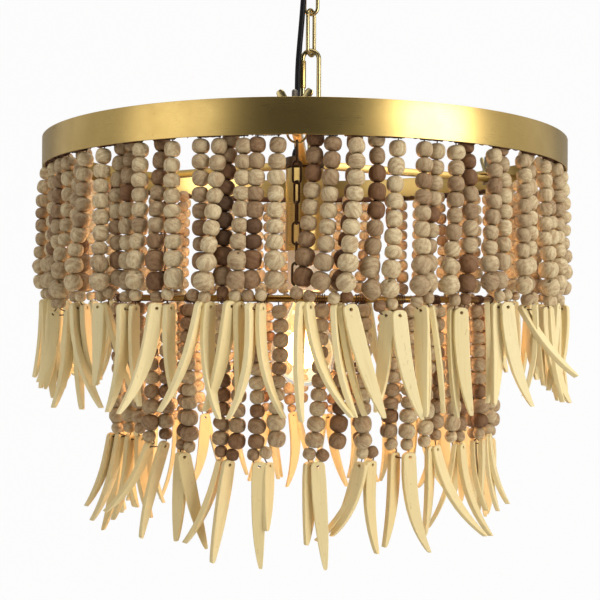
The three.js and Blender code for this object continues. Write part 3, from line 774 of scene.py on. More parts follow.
class CHANDELIER_OT_hub(bpy.types.Operator):
    """Hub disc, its eye, its cord grip and the three arms with their bolts and wing nuts"""

    bl_idname = "chandelier.hub"
    bl_label = "Hub and arms"

    def execute(self, context):
        shank = [(0, -283.0), (3.5, -283.0), (3.5, -251.5), (0, -250)]
        hexagon = [(0, -283.1), (6.2, -283.1), (6.2, -279.4), (0, -279.4)]
        eye = Shape(hoop(9, 6, -241.4, "x", 44, 16), lathe(shank, 0.4, 24), lathe(hexagon, 0.5, 6))
        piece("hub_eye_ring", eye, "fixture", "link", "hub_eye")
        disc = [(0, -315.4), (4.9, -315.4), (4.9, -296), (7, -295.4)]
        disc += [(23.5, -295.4), (23.5, -283.4), (0, -283.4)]
        hub = Shape(lathe(disc, 0.8, 64, LAMP_X))
        piece("hub_body", hub, "fixture", "bronze", "hub_disc")
        piece("hub_grip", grip((-16, -2), -283.1, 1), "fixture", "rubber", "hub_cord_grip")
        for side, degrees in ARMS:
            self.arm(side, degrees)
        return {"FINISHED"}

    def arm(self, side, degrees):
        """One arm with its washer, its bolt and its wing nut."""
        washer = [(2.9, -0.4), (6.4, -0.4), (6.4, 0), (2.9, 0)]
        washer = lathe(washer, 0.2, 28, steps=2, tube=True)
        beam = block((260.4, 9, 9), 0.7, (153.8, 0, -290.4))
        bar = Shape(round_lamp(beam, degrees), round_lamp(washer, degrees, BOLT_AT, -285.75))
        piece(f"arm_{side}_bar", bar, "fixture", "brass", f"arm_{side}")
        head = [(0, -298.7), (4.0, -298.7), (4.6, -298.1), (4.6, -295.4), (0, -295.4)]
        shank = [(0, -296), (2.7, -296), (2.7, -262.2), (1.9, -261), (0, -261)]
        threads = [hoop(2.6, 0.5, -282.4 + k * 0.93, "z", 20, 6) for k in range(21)]
        solids = (lathe(head, 0.3, 6), turned(shank, 20), *threads)
        bolt = Shape(*(round_lamp(solid, degrees, BOLT_AT) for solid in solids))
        piece(f"bolt_{side}", bolt, "fixture", "steel", f"arm_bolt_{side}")
        boss = [(2.8, -282.8), (5.5, -282.8), (5.4, -281.6), (4.4, -274.8), (2.8, -274.8)]
        wings = [spun(self.wing(), way + radians(78)) for way in (0, pi)]
        solids = (lathe(boss, 0.5, 32, steps=2, tube=True), *wings)
        nut = Shape(*(round_lamp(solid, degrees, BOLT_AT) for solid in solids))
        piece(f"nut_{side}_winged", nut, f"nut_{side}", "link", f"wing_nut_{side}")

    @staticmethod
    def wing():
        """One wing of a nut, leaning out along X."""
        lean = radians(32)
        across = np.array((cos(lean), 0, -sin(lean)))
        rings = []
        for share in (0.0, 0.12, 0.3, 0.5, 0.7, 0.84, 0.94, 1.0):
            reach, thick = share * 21, 1.6 - 0.3 * share
            tip = 4.0 * sqrt(max(0.3, 1 - ((share - 0.84) / 0.2) ** 2))
            half = 3.4 + 0.7 * share if share < 0.84 else tip
            middle = np.array((4.0 + reach * sin(lean), 0, -279.0 + reach * cos(lean)))
            ring = []
            for k in range(16):
                wide, deep = powered(cos(TURN * k / 16), 0.6), powered(sin(TURN * k / 16), 0.7)
                ring.append(middle + across * (half * wide) + np.array((0, -thick * deep, 0)))
            rings.append(ring)
        return lofted(rings)


class CHANDELIER_OT_lamp(bpy.types.Operator):
    """Cup, lamp holder and the bulb with its filament and light"""

    bl_idname = "chandelier.lamp"
    bl_label = "Lamp"

    def execute(self, context):
        centre = (LAMP_X, 0, 0)
        cup = [
            (5.3, -295.7), (5.3, -297.7), (21.6, -297.7), (21.6, -394.4),
            (22.2, -395.2), (22.8, -394.6), (22.8, -297.4), (21.4, -295.7),
        ]
        shell = Shape(lathe(cup, 0.8, 64, LAMP_X, tube=True))
        piece("cup_shell", shell, "fixture", "brass", "socket_cup")
        body = [
            (0, -414.7), (13.5, -414.7), (13.5, -442.4), (14.4, -443.7), (19, -443.7), (20, -442.4),
            (20, -330), (18.5, -309.7), (5.3, -309.7), (5.3, -315.7), (0, -315.7),
        ]
        holder = Shape(turned(softened(body, 0.7)[::-1], 56, centre))
        piece("holder_body", holder, "fixture", "glaze", "lamp_holder")
        # The cap's screw thread is four waves of its outline
        cap = [(0, -441), (12.4, -441)]
        shares = np.arange(25) / 24
        cap += [(12.5 + 0.38 * cos(TURN * 4 * share), -440.6 + 20.5 * share) for share in shares]
        cap += [(11, -418.4), (5.2, -416), (4.6, -415), (0, -415)]
        piece("bulb_cap", Shape(turned(cap, 40, centre)), "bulb", "cap", "bulb_base")
        outer = [(12.5, -441.4), (12.55, -446)]
        for share in np.arange(1, 9) / 9:
            eased = share * share * (3 - 2 * share)
            outer.append((12.55 + 15.7 * eased, -446 - 43.7 * share))
        for k in range(17):
            turn = pi / 4 - 0.75 * pi * k / 16
            radius = GLOBE_RADIUS * cos(turn) if k < 16 else 0.0
            outer.append((radius, GLOBE_Z + GLOBE_RADIUS * sin(turn)))
        inner = [(r - 1.0, z + (0.55 if z < GLOBE_Z else 0)) for r, z in outer[:-1]]
        inner.append((0.0, outer[-1][1] + 1.0))
        glass = Shape(turned(outer + inner[::-1], 64, centre))
        stem = [(0, -442), (8, -442), (4.5, -452), (2.4, -470), (3.4, -476), (0, -478)]

        def about(radius, turn, z):
            return LAMP_X + radius * cos(turn), radius * sin(turn), z

        # The filament runs up and down between a narrow circle at the hooks and a wider one below
        wire = [about(11 if k % 2 else 7, TURN * k / 14, -536 if k % 2 else -484) for k in range(15)]
        filament = Shape(swept(smooth_route(wire, 6), 0.55, 6))
        for made in (
            piece("bulb_globe", glass, "bulb", "glass", "bulb_glass", 60),
            piece("bulb_stem", Shape(lathe(stem, 1.5, 24, LAMP_X)), "bulb", "glass"),
            piece("bulb_filament", filament, "bulb", "filament"),
        ):
            made.visible_shadow = False
        hooks = Shape()
        for turn in (TURN * k / 7 for k in range(7)):
            hook = [about(0, turn, -477.5), about(4, turn, -481), about(7, turn, -483.6)]
            hooks.merge(swept(hook, 0.25, 5))
        piece("bulb_hooks", hooks, "bulb", "cap")
        data = bpy.data.lights.new("bulb_light", "POINT")
        data.energy, data.shadow_soft_size = 1.9, 0.03
        data.color = tuple(context.scene.chandelier_colours.lamp_light)
        light = linked("bulb_light", data)
        light.location = (LAMP_X * MM, 0, -0.512)
        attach(light, "bulb")
        return {"FINISHED"}


# How far each link of a tier chain is turned from the last, seen from above
LINK_TURNS = (0, 90, 40, -10, 85, 0, 90)
LINK_PITCH = 19.8
JUMP_RADIUS = 9.5  # Middle line of the jump ring at both ends of a tier chain


class CHANDELIER_OT_frame(bpy.types.Operator):
    """Top band with its ears, the rod inside it, the tier chains and the lower ring"""

    bl_idname = "chandelier.frame"
    bl_label = "Ring frame"

    def execute(self, context):
        edge = [(305, -306.9), (305, -273.4), (303.3, -273.4), (303.3, -306.9)]
        band = Shape(lathe(edge, 0.45, 240, LAMP_X, tube=True))
        for _, degrees in ARMS:
            band.merge(round_lamp(block((40.5, 16, 2.5), 0.6, (283.2, 0, -284.35)), degrees))
        piece("band_hoop", band, "fixture", "brass", "ring_band", 30)
        rod = Shape(moved(hoop(ROD_RADIUS, 4.6, ROD_Z, "z", 200, 12), LAMP_X))
        for degrees in (-85.5, 34.5, 154.5):
            rod.merge(round_lamp(block((5.2, 6, 3), 0.6, (301.2, 0, ROD_Z)), degrees))
        piece("rod_hoop", rod, "fixture", "bronze", "string_rod")
        turns, steps = 150, 16
        t = np.arange(turns * steps) / (turns * steps)
        wave = TURN * turns * t
        reach = ROD_RADIUS + 2.75 * np.cos(wave)
        x, y = LAMP_X + reach * np.cos(TURN * t), reach * np.sin(TURN * t)
        wound = np.c_[x, y, ROD_Z + 2.75 * np.sin(wave)]
        piece("rod_winding", Shape(swept(wound, 0.5, 4, True)), "fixture", "thread", angle=0)
        lower = Shape(moved(hoop(LOWER_RADIUS, 7, LOWER_Z, "z", 160, 16), LAMP_X))
        piece("lower_hoop", lower, "lower_tier", "old_brass", "lower_ring")
        for side, degrees in ARMS:
            self.tier_chain(side, degrees)
        return {"FINISHED"}

    def tier_chain(self, side, degrees):
        """Seven dark links between two bright jump rings, from the ear down to the lower ring."""
        top = -291.17
        chain = Shape()
        ring = hoop(JUMP_RADIUS, 2.2, top, "x", 32, 10)
        chain.merge(round_lamp(ring, degrees, LOWER_RADIUS), mark=1)
        first = top - JUMP_RADIUS + 2.1 - 0.2
        for k, turn in enumerate(LINK_TURNS):
            link = swept(oval(24.4, 10.2, 2.4, first - k * LINK_PITCH - 10.8, 24), 1.2, 8, True)
            chain.merge(round_lamp(spun(link, radians(turn)), degrees, LOWER_RADIUS))
        ring = hoop(JUMP_RADIUS, 2.2, first - 6 * LINK_PITCH - 21.6 + 2.1 - 0.2 - JUMP_RADIUS, "y", 32, 10)
        chain.merge(round_lamp(ring, degrees, LOWER_RADIUS), mark=1)
        piece(f"tier_{side}_links", chain, f"tier_{side}", "bronze link", f"tier_chain_{side}")


# Strings of beads
def unit(vector):
    return vector / np.linalg.norm(vector)


def bead_form(sides=14):
    """One bead of radius 1 and half height 1: a barrel-like ball with a drilled hole."""
    hole = [(0.16, 0.5), (0.18, 0.93), (0.26, 0.99)]
    profile = list(hole)
    for degrees in (66, 54, 40, 24, 8, -8, -24, -40, -54, -66):
        t = radians(degrees)
        profile.append((cos(t) ** 0.74, powered(sin(t), 0.8)))
    profile += [(r, -h) for r, h in reversed(hole)]
    return turned(profile[::-1], sides)


def frame_along(direction):
    """Two sides and the unit direction itself, as rows."""
    helper = (0.0, 0.0, 1.0) if abs(direction[2]) < 0.9 else (1.0, 0.0, 0.0)
    side = np.cross(helper, direction)
    side /= np.sqrt((side * side).sum())
    return np.array([side, np.cross(direction, side), direction])


# A tusk's outline below its head: share of the length, and width as a share of the widest place
TUSK_WIDTHS = [
    (0.09, 0.97), (0.14, 1.0), (0.22, 1.0), (0.32, 0.98), (0.44, 0.93), (0.55, 0.87),
    (0.66, 0.78), (0.76, 0.67), (0.85, 0.54), (0.92, 0.42), (0.97, 0.31), (1.0, 0.2),
]
TUSK_COLUMNS = (-1.0, -0.5, 0.0, 0.5, 1.0)
TUSK_HEAD = 0.052  # How far the head reaches above the hole, as a share of the length
TUSK_INSET = 0.1  # Width of the softened edge, as a share of the half width
TUSK_EDGE = 0.78  # Thickness that is left at the edge, as a share
TUSK_HOLE = 1.7  # Radius of the drilled hole, in mm


def tusk_rim():
    """The outline round the head, from the lower side and back to it, as shares of width and length."""
    low, wide = TUSK_WIDTHS[0]
    rim = [(c * 0.5 * wide, low) for c in TUSK_COLUMNS]
    rim += [(0.475, 0.045)]
    for degrees in range(0, 181, 30):
        t = radians(degrees)
        rim.append((0.47 * cos(t), -TUSK_HEAD * sin(t) ** 0.8 if 0 < degrees < 180 else 0.0))
    return rim + [(-0.475, 0.045)]


def tusk(length, width, thickness):
    """A flat spear in millimetres with a real hole at the origin, hanging down."""
    points, faces, rim = [], [], tusk_rim()
    half, inner, lower = thickness / 2, 1 - TUSK_INSET, len(TUSK_COLUMNS)

    def add(x, y, z):
        points.append((x, y, z))
        return len(points) - 1

    hole, front, edge = {}, {}, {}
    for sign in (1, -1):
        for i, (x, s) in enumerate(rim):
            px, pz = x * width, -s * length
            size = hypot(px, pz)
            hole[sign, i] = add(TUSK_HOLE * px / size, sign * half, TUSK_HOLE * pz / size)
            front[sign, i] = add(px * inner, sign * half, pz if i < lower else pz * inner)
            edge[sign, i] = add(px, sign * half * TUSK_EDGE, pz)
    for i in range(len(rim)):
        j = (i + 1) % len(rim)
        faces.append((hole[1, i], hole[1, j], front[1, j], front[1, i]))
        faces.append((hole[-1, j], hole[-1, i], front[-1, i], front[-1, j]))
        faces.append((hole[1, j], hole[1, i], hole[-1, i], hole[-1, j]))
        if i >= lower - 1:
            faces.append((front[1, i], front[1, j], edge[1, j], edge[1, i]))
            faces.append((front[-1, j], front[-1, i], edge[-1, i], edge[-1, j]))
            faces.append((edge[1, i], edge[1, j], edge[-1, j], edge[-1, i]))
    right, left = lower - 1, 0
    rows = [
        [front[1, i] for i in range(lower)] + [edge[1, right], edge[-1, right]]
        + [front[-1, i] for i in reversed(range(lower))] + [edge[-1, left], edge[1, left]]
    ]
    for share, wide in TUSK_WIDTHS[1:]:
        thin = half * (1 - 0.12 * max(0.0, (share - 0.6) / 0.4))
        x, z = wide * width / 2, -share * length
        row = [add(c * x * inner, thin, z) for c in TUSK_COLUMNS]
        row += [add(x, thin * TUSK_EDGE, z), add(x, -thin * TUSK_EDGE, z)]
        row += [add(c * x * inner, -thin, z) for c in reversed(TUSK_COLUMNS)]
        row += [add(-x, -thin * TUSK_EDGE, z), add(-x, thin * TUSK_EDGE, z)]
        rows.append(row)
    for above, below in zip(rows, rows[1:]):
        for k in range(len(above)):
            m = (k + 1) % len(above)
            faces.append((above[k], below[k], below[m], above[m]))
    faces.append(tuple(reversed(rows[-1])))
    return np.array(points), faces


# Sites round the rods that the front view shows, in degrees from the front, by their body's own site
FRONT_SITES = {
    "upper": {
        -47.5: (-57, -49, -40), -23.5: (-33, -26, -17, -12), 0.5: (-6.5, 3.5, 9),
        24.5: (15, 23, 30), 48.5: (39.5, 49, 58),
    },
    "lower": {
        -68.5: (-80, -68, -55), -32.5: (-42, -31.5, -21), 3.5: (-9.5, 5, 15.5),
        39.5: (26.5, 36, 46.5), 75.5: (58, 72, 86),
    },
}
# Legs of those sites, sideways in mm: both tops, both ends, the small beads, and which leg hangs in front
FRONT_LEGS = {
    "upper": {
        -57: (-9, 9, -8, 9, -6, 1), -49: (-10, 9, -7, 3, 0, 1), -40: (-4, 10, 0, 11, -1, -1),
        -33: (-9.5, 8, -9.5, 7, -2, 1), -26: (-8.5, 8.5, -8, 12, -1, 1), -17: (-9, 10, -10, -1, -9, 1),
        -12: (-8, 7, -14, 2, -6, 1), -6.5: (-9, 10, -15, 7, -11, 1), 3.5: (-8, 7.5, -19, -4, -19, 1),
        9: (-1, 1, -11, -12, -14, -1), 15: (-9.5, 9, -18, -1, -2, 1), 23: (-7, 8, -15, 0, -9, -1),
        30: (-8, 10, -18, 4, -4, -1), 39.5: (-10, 11, -20, -2, 3, -1), 49: (-11, 12, -19, -2, 0, -1),
        58: (-9, 9, -14, 2, 0, -1),
    },
    "lower": {
        -68: (-8, 8, -8, 8, 6, 1), -42: (-8, 7, -9, -2, 5, -1), -31.5: (-6, 4, -9, 6, -4, 1),
        -21: (-3, 20, -4, 14, 3, -1), -9.5: (-9, 11, -10, 11, -7, 1), 5: (-2, 19, -9, 14, -8, -1),
        15.5: (-3, 1, -3, 2, 5, -1), 26.5: (-4, 9, -13, 2, 3, 1), 36: (-3, 12, -11, 7, -2, -1),
        46.5: (-8, 8, -12, 6, 0, -1), 58: (-7, 8, -9, 4, 0, -1),
    },
}
# Tusks of those sites as the viewer sees them: the hole sideways in mm, degrees that the broad face is turned
# away, how far the tip lies sideways, how much of that comes from the claw's curve, and the length in mm
FRONT_TUSKS = {
    "upper": {
        -57: [(-5, 15, -12, -12, 70), (8, 62, -21, -18, 100), (13, 74, 4, 3, 98)],
        -49: [(-2, 65, 31, 24, 104), (4, 75, 12, 8, 78)], -40: [(-4, -30, -2, -2, 76), (-1, 86, 32, 5, 101)],
        -33: [(-7, 60, -16, -18, 99), (1, 70, 4, 5, 92)], -26: [(-5, 34, -29, -16, 103), (5, 60, 6, 7, 82)],
        -17: [(-7, 72, -38, -17, 108), (0, 50, 9, 13, 100)],
        -12: [(-4, 45, -22, -10, 100), (3, 64, -1, -4, 87)],
        -6.5: [(-14, 70, -18, -20, 100), (-5, 66, 19, 19, 99)],
        3.5: [(-21, 62, 3, 8, 101), (-14, 60, 38, 22, 108)],
        9: [(-6, 14, 33, 9, 106), (-19, 75, 20, 14, 98), (-13, 78, 22, 8, 100)],
        15: [(8, 12, 25, 15, 99), (-1, -30, -13, -9, 90)],
        23: [(-11, -28, 4, 3, 96), (-5, 80, 2, -6, 95), (3, 78, 11, -4, 96)],
        30: [(-4, 8, 13, 11, 97), (-8, 40, 5, 3, 99)],
        39.5: [(2, 12, 22, 13, 99), (-4, 34, -6, -9, 93), (-10, 78, 1, -3, 93)],
        49: [(-8, 58, 60, 9, 104), (8, 72, -10, -13, 88)],
        58: [(-5, 28, 22, 15, 100), (2, 68, 14, 8, 96), (-3, 60, 2, 4, 78)],
    },
    "lower": {
        -68: [(-7, 70, -30, -16, 88), (-1, 66, -33, -16, 105), (6, 76, 8, 8, 80)],
        -55: [(-4, 70, -18, -12, 90), (4, 60, 12, 10, 84)],
        -42: [(-11, 64, -50, -18, 96), (2, 50, -21, 7, 98)],
        -31.5: [(-3, 14, 24, 7, 97), (-9, -24, -2, 3, 85)],
        -21: [(6, 44, -17, -3, 99), (-4, 72, -38, -15, 95)], -9.5: [(-6, 4, 0, 1, 100), (2, 58, 2, 2, 62)],
        5: [(-5, 6, 10, 4, 101), (-12, 30, -2, -1, 77)],
        15.5: [(-4, -38, -27, -9, 80), (4, 66, -53, -15, 104), (9, 48, 9, 13, 83)],
        26.5: [(6, 22, 20, 17, 99), (-6, 44, -8, -7, 89)], 36: [(-2, 58, -6, -7, 89), (7, 50, 48, 23, 103)],
        46.5: [(-3, 74, -26, -15, 90), (7, 60, 29, 19, 96)], 58: [(5, 68, -4, -5, 76), (-1, 70, 14, 10, 74)],
        72: [(-3, 66, 12, 9, 84), (3, 70, 20, 12, 80)],
    },
}
# Swags that hang lower than the others, in mm, or higher where negative
LONGER = {
    "upper": {-57: 9, -49: 6, -33: 4, 15: 4, 30: 5, 58: 4},
    "lower": {-68: -13, -55: -13, -42: -13, -31.5: -7, 26.5: -7, 36: -14, 46.5: -11, 58: -11, 72: -11},
}
# How light the further leg is where it stands out as dark: partly its beads' own darker wood and partly
# painted shade
DARK_LEGS = {
    "upper": {-17: 0.45, -12: 0.2, -6.5: 0.18, 3.5: 0.3, 15: 0.38},
    "lower": {},
}
ONE_BEAD_LESS = -10  # A swag that hangs this much higher has one bead less down each side
SMALL_HEIGHT = 0.92  # Half height of a small bead, as a share of its radius
SMALL_APART = 5.9  # Half the distance between a swag's two small beads, in mm
TUSK_BELOW = 4.8  # From the small beads' lower end to the tusks' holes, in mm
TUCKED = 0.7  # Share of the upper tier's further legs that start behind the band
ROOM = 2.5  # How far in the other upper legs start, to swing out under the band, in mm
LOOSE = 0.36  # Share of the large beads that hang well tilted
CURVE = 1.12  # How much more a tusk curves than its row says


class Tier:
    """One tier's places: its rod, and the beads down each leg as (count, radius, height)."""

    def __init__(self, name, radius, rod, height, count, first_angle, first, groups):
        self.name, self.radius, self.rod, self.height, self.count = name, radius, rod, height, count
        self.first_angle, self.first, self.groups = first_angle, first, groups
        self.pitch = 360 / count
        self.upper = name == "upper"

    def sites(self, i):
        """Degrees from the front of the sites that body i carries, with its own site in the middle."""
        own = (self.first_angle + 90 + i * self.pitch + 180) % 360 - 180
        listed = FRONT_SITES[self.name].get(round(own, 1))
        return listed or tuple(own + k * self.pitch / 3 for k in (-1, 0, 1))

    def listed(self, table, degrees, otherwise=None):
        return table[self.name].get(degrees, otherwise)


class CHANDELIER_OT_strings(bpy.types.Operator):
    """Both tiers' swags: beads, tusks and threads, and the twine that is wound on the rods"""

    bl_idname = "chandelier.strings"
    bl_label = "Strings of beads"

    def execute(self, context):
        s = context.scene.chandelier_sizes
        bead, large = s.bead_radius, s.large_radius
        groups = [(7, bead, 14.2), (2, large, 17.0)]
        upper = Tier("upper", 297.6, 2.3, ROD_Z, 15, -89.5, 4.2, groups)
        groups = [(8, bead - 0.2, 13.6), (2, large - 0.4, 15.6)]
        lower = Tier("lower", 219.8, 3.5, LOWER_Z, 10, -86.5, 5.4, groups)
        self.form = bead_form()
        for tier, body in ((upper, "fixture"), (lower, "lower_tier")):
            self.windings = Shape()
            for i in range(tier.count):
                self.swags(s, tier, i)
            # The windings stay on the rod when a swag swings
            piece(f"{tier.name}_windings", self.windings, body, "thread", angle=0)
        return {"FINISHED"}

    def swags(self, s, tier, i):
        """The swags of one body, as three pieces that ride on it."""
        rng = np.random.default_rng(s.seed * 1000 + (0 if tier.upper else 500) + i)
        beads, tusks, threads = Shape(), Shape(), Shape()
        for degrees in tier.sites(i):
            self.swag(s, tier, degrees, rng, beads, tusks, threads)
        tag = f"{i + 1:02d}"
        body, node = f"{tier.name}_{tag}", f"{tier.name}_swag_{tag}"
        piece(f"{tier.name}_beads_{tag}", beads, body, "bead", node, 55, True)
        piece(f"{tier.name}_tusks_{tag}", tusks, body, "tusk", None, 32, True)
        piece(f"{tier.name}_thread_{tag}", threads, body, "thread", angle=0)

    def swag(self, s, tier, degrees, rng, beads, tusks, threads):
        """One thread: over the rod, down both legs of beads and through the tusks."""
        turn = radians(degrees)
        out = np.array((sin(turn), -cos(turn), 0.0))
        side = np.array((cos(turn), sin(turn), 0.0))
        centre = np.array((LAMP_X, 0.0, tier.height)) + out * tier.radius
        listed = tier.listed(FRONT_TUSKS, degrees)
        drift = rng.normal(-2, 4)
        legs_at = tier.listed(FRONT_LEGS, degrees)
        if not legs_at:
            top, end = rng.uniform((5.5, 7.5), (9.0, 9.6))
            legs_at = (-top, top, drift - end, drift + end, drift, rng.choice((-1, 1)))
        tops, ends, hang, front = legs_at[0:2], legs_at[2:4], legs_at[4], legs_at[5]
        sag = rng.normal(0, 1.0)
        run = tier.first + sum(c * h for c, _, h in tier.groups)
        small = s.small_radius + (0.0 if tier.upper else 0.5)
        longer = tier.listed(LONGER, degrees, 0)
        # Both legs' lengths; a third draw isn't used and keeps the later ones in their order
        hanging = run + 3.0 + longer + rng.normal(0, 1.6, 3)
        tall = 2 * small * SMALL_HEIGHT
        dip = max(hanging[:2]) + tall + TUSK_BELOW + 0.5 * sag
        swung = rng.normal(0, 1.5)
        wide = max(r for _, r, _ in tier.groups)
        placed, legs, inwards = [], [], [0.0, 0.0]
        for i, leg in enumerate((-1, 1)):
            sway = rng.normal(0, 0.9, 4)
            # The further leg gets a darker tone, darker still at sites near the front: partly its beads' own
            # darker wood and partly painted shade where it hangs behind the nearer leg
            further = tier.listed(DARK_LEGS, degrees, 0.55 if -36 < degrees < 34 else 0.74)
            tone_leg = (0.86 if leg == front else further) + rng.normal(0.0, 0.11)
            tone_leg = tone_leg - (0.0 if tier.upper else 0.12)
            lift = rng.normal(0, 1.1)

            def at(down, i=i, leg=leg, sway=sway, lift=lift):
                """The leg's middle line, this far down the thread."""
                share = min(1.0, max(0.0, down / run))
                past = min(1.0, max(0.0, (down - run + 4) / (2 * small)))
                across = [a + (b - a) * share**1.5 for a, b in zip(tops, ends)]
                apart = across[1] - across[0]
                grown = min(1.0, max(0.0, (share - 0.62) / 0.14))
                need = 2 * s.bead_radius + (2 * wide - 2 * s.bead_radius) * grown
                depth = 0.5 * sqrt(max(0.0, (need * 1.015) ** 2 - apart**2))
                depth = depth * min(1.0, 0.35 + share * 3.0)
                depth = depth * (leg * front) * (1 - past) - inwards[i] * (1 - share) ** 2.5
                place = across[i] * (1 - past) + (hang + leg * SMALL_APART) * past
                arc, wave = sin(pi * share), 0.7 * sin(TURN * share)
                sideways = place + (arc * sway[0] + wave * sway[1])
                outward = depth + (arc * sway[2] + wave * sway[3]) + swung * share
                return centre + side * sideways + out * outward - UP * (down + (sag + lift) * share)

            # A tucked leg starts behind the band; the others leave room to swing out under it
            tucked = tier.upper and leg != front and rng.random() < TUCKED
            inwards[i] = tier.rod + s.bead_radius + 0.4 if tucked else ROOM if tier.upper else 0.0
            beads_down = [
                (radius, height * (1 + rng.normal(0, 0.05)))
                for count, radius, height in tier.groups
                for _ in range(count - (longer <= ONE_BEAD_LESS and count > 2))
            ]
            down = rng.uniform(-5.5, -2.5) if tucked else tier.first + rng.uniform(-0.9, 0.9)
            fit = (hanging[i] - down) / sum(height for _, height in beads_down)
            wave, phase = rng.uniform(0.12, 0.24), rng.uniform(0, TURN)
            for k, (radius, height) in enumerate(beads_down):
                height *= fit
                size = radius * (1 + rng.normal(0, 0.025))
                toned = tone_leg + wave * sin(phase + 0.75 * k)
                placed.append((at, down + height / 2, size, height / 2 * 0.995, toned, radius == wide))
                down += height
            size = small * (1 + rng.normal(0, 0.05))
            placed.append((at, down + small * SMALL_HEIGHT, size, small * 0.93, tone_leg, False))
            legs.append([at(d) for d in np.linspace(-tier.rod - 0.4, hanging[i] + tall + 0.5, 36)])
        self.beads(placed, rng, beads)
        bottom = centre - UP * dip
        holes = self.tusks(s, tier, listed, rng, bottom + side * (0 if listed else hang), out, side, tusks)
        path = [legs[0][-2], legs[0][-1], *holes, legs[1][-1], legs[1][-2]]
        threads.merge(swept(smooth_route(path, 4), s.thread_radius, 6))
        for leg in legs:
            threads.merge(swept(leg[:4], s.thread_radius, 6))
        self.wrap(tier, rng, centre, out, side, s.thread_radius)

    def beads(self, placed, rng, shape):
        """Adds the beads, each a little tilted, squeezed and toned in its own way."""
        points, faces = self.form
        for at, down, radius, half, tone_leg, large in placed:
            tilt = rng.normal(0, 0.06, 2)
            spin = rng.uniform(0, TURN)
            if large and rng.random() < LOOSE:
                tilt, half = tilt * 6, half * 0.96
            direction = unit(at(down - 5) - at(down + 5)) + np.array((*tilt, 0.0))
            axes = frame_along(unit(direction))
            c, t = cos(spin), sin(spin)
            axes = np.array([c * axes[0] + t * axes[1], c * axes[1] - t * axes[0], axes[2]])
            squash = 1 + rng.normal(0, 0.012, 2)
            local = points * (radius * squash[0], radius * squash[1], half)
            grain = local @ frame_along(unit(rng.normal(0, 1, 3))) + rng.uniform(-400, 400, 3)
            tone = float(np.clip(tone_leg + rng.normal(0, 0.1), 0.0, 1.0))
            shape.add(at(down) + local @ axes, faces, 0, grain, tone)

    def tusks(self, s, tier, listed, rng, bottom, out, side, shape):
        """Hangs the tusks at their holes and gives the holes back in order."""
        rows, ahead, right = listed, np.array((0.0, -1.0, 0.0)), np.array((1.0, 0.0, 0.0))
        if not rows:
            rows, ahead, right = [], out, side
            for k in range(3 if rng.random() < 0.45 else 2):
                way = (-1, 1, rng.choice((-1, 1)))[k]
                face = rng.normal(68, 12) if rng.random() < 0.65 else rng.normal(0, 22)
                tip = (way * rng.uniform(4, 34), way * rng.uniform(3, 19), rng.uniform(88, 104))
                rows.append((way * (3 + k), face, *tip))
        holes = []
        for k, (place, face, reach, curve, length) in enumerate(rows):
            turn, flat = radians(face), abs(face) < 45
            drop = sqrt(max(1.0, length**2 - reach**2))
            normal = ahead * cos(turn) + right * sin(turn)
            across = right * cos(turn) - ahead * sin(turn)
            width = s.tusk_width * (1 + rng.normal(0, 0.04))
            thickness = s.tusk_thickness * (1 + rng.normal(0, 0.05))
            points, faces = tusk(drop, width, thickness)
            share = np.clip(-points[:, 2] / drop, 0, 1)
            local, curve = points.copy(), CURVE * curve
            local[:, 0 if flat else 1] += curve / (cos(turn) if flat else sin(turn)) * share**2.5
            local[:, 1 if flat else 0] += rng.normal(0, 2.0) * share**2
            local[:, 0] += rng.choice((-1, 1)) * 0.14 * width * share**4
            world = local[:, :1] * across + local[:, 1:2] * normal + local[:, 2:] * UP
            lean = atan((reach - curve) / drop)
            c, t = cos(lean), sin(lean)
            along, rest, height = (world @ axis for axis in (right, ahead, UP))
            tilted = np.outer(along * c - height * t, right) + np.outer(rest, ahead)
            tilted += np.outer(height * c + along * t, UP)
            depth = ((len(rows) - 1) / 2 - k) * (5.4 if flat else 3.6)
            hole = bottom + right * place + out * depth
            holes.append(hole)
            grain = points + rng.uniform(-500, 500, 3)
            tone = float(np.clip(rng.normal(0.85 if tier.upper else 0.5, 0.25), 0, 1))
            shape.add(hole + tilted, faces, 0, grain, tone)
        return sorted(holes, key=lambda hole: float(hole @ side))

    def wrap(self, tier, rng, centre, out, side, radius):
        """Turns of twine side by side round the rod, over the width of the swag."""
        full = tier.upper or rng.random() < 0.12
        turns, steps = (16, 9) if full else (5, 12)
        t = np.arange(turns * steps + 1) / (turns * steps)
        wave = TURN * turns * t + rng.uniform(0, TURN)
        reach = tier.rod + 0.35 + radius + 0.15 * np.sin(TURN * 3.3 * t)
        along = (t - 0.5) * (22.6 if full else 11.0) + (0 if full else rng.uniform(-5, 5))
        bow = tier.radius * (np.cos(along / tier.radius) - 1)
        path = centre + out * 0.4 + np.outer(along, side)
        path = path + np.outer(reach * np.cos(wave) + bow, out) + np.outer(reach * np.sin(wave), UP)
        self.windings.merge(swept(path, radius, 5))


class CHANDELIER_PT_panel(bpy.types.Panel):
    """The chandelier's sizes and colours, and its pieces in the order that they are made"""

    bl_label = "Beaded chandelier"
    bl_idname = "CHANDELIER_PT_panel"
    bl_space_type = "VIEW_3D"
    bl_region_type = "UI"
    bl_category = "Chandelier"

    def draw(self, context):
        for group in (context.scene.chandelier_sizes, context.scene.chandelier_colours):
            box = self.layout.box()
            for name in group.__annotations__:
                box.prop(group, name)
        for operator in OPERATORS:
            self.layout.operator(operator.bl_idname)


OPERATORS = (
    CHANDELIER_OT_stage,
    CHANDELIER_OT_cord,
    CHANDELIER_OT_canopy,
    CHANDELIER_OT_chain,
    CHANDELIER_OT_hub,
    CHANDELIER_OT_lamp,
    CHANDELIER_OT_frame,
    CHANDELIER_OT_strings,
)
CLASSES = (Sizes, Colours, *OPERATORS, CHANDELIER_PT_panel)


def register():
    for made in CLASSES:
        bpy.utils.register_class(made)
    bpy.types.Scene.chandelier_sizes = PointerProperty(type=Sizes)
    bpy.types.Scene.chandelier_colours = PointerProperty(type=Colours)


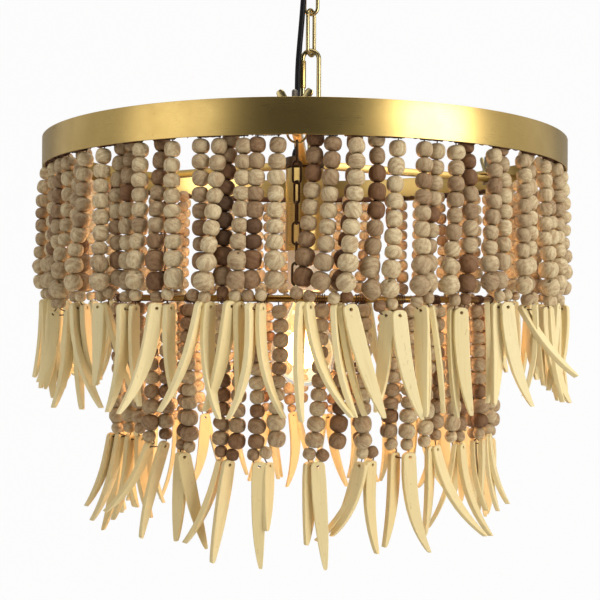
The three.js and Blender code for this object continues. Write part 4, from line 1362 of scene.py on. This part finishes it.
def unregister():
    del bpy.types.Scene.chandelier_sizes
    del bpy.types.Scene.chandelier_colours
    for made in reversed(CLASSES):
        bpy.utils.unregister_class(made)


def main():
    register()
    bpy.ops.chandelier.stage()
    bpy.ops.chandelier.cord()
    bpy.ops.chandelier.canopy()
    bpy.ops.chandelier.chain()
    bpy.ops.chandelier.hub()
    bpy.ops.chandelier.lamp()
    bpy.ops.chandelier.frame()
    bpy.ops.chandelier.strings()


if __name__ == "__main__":
    main()
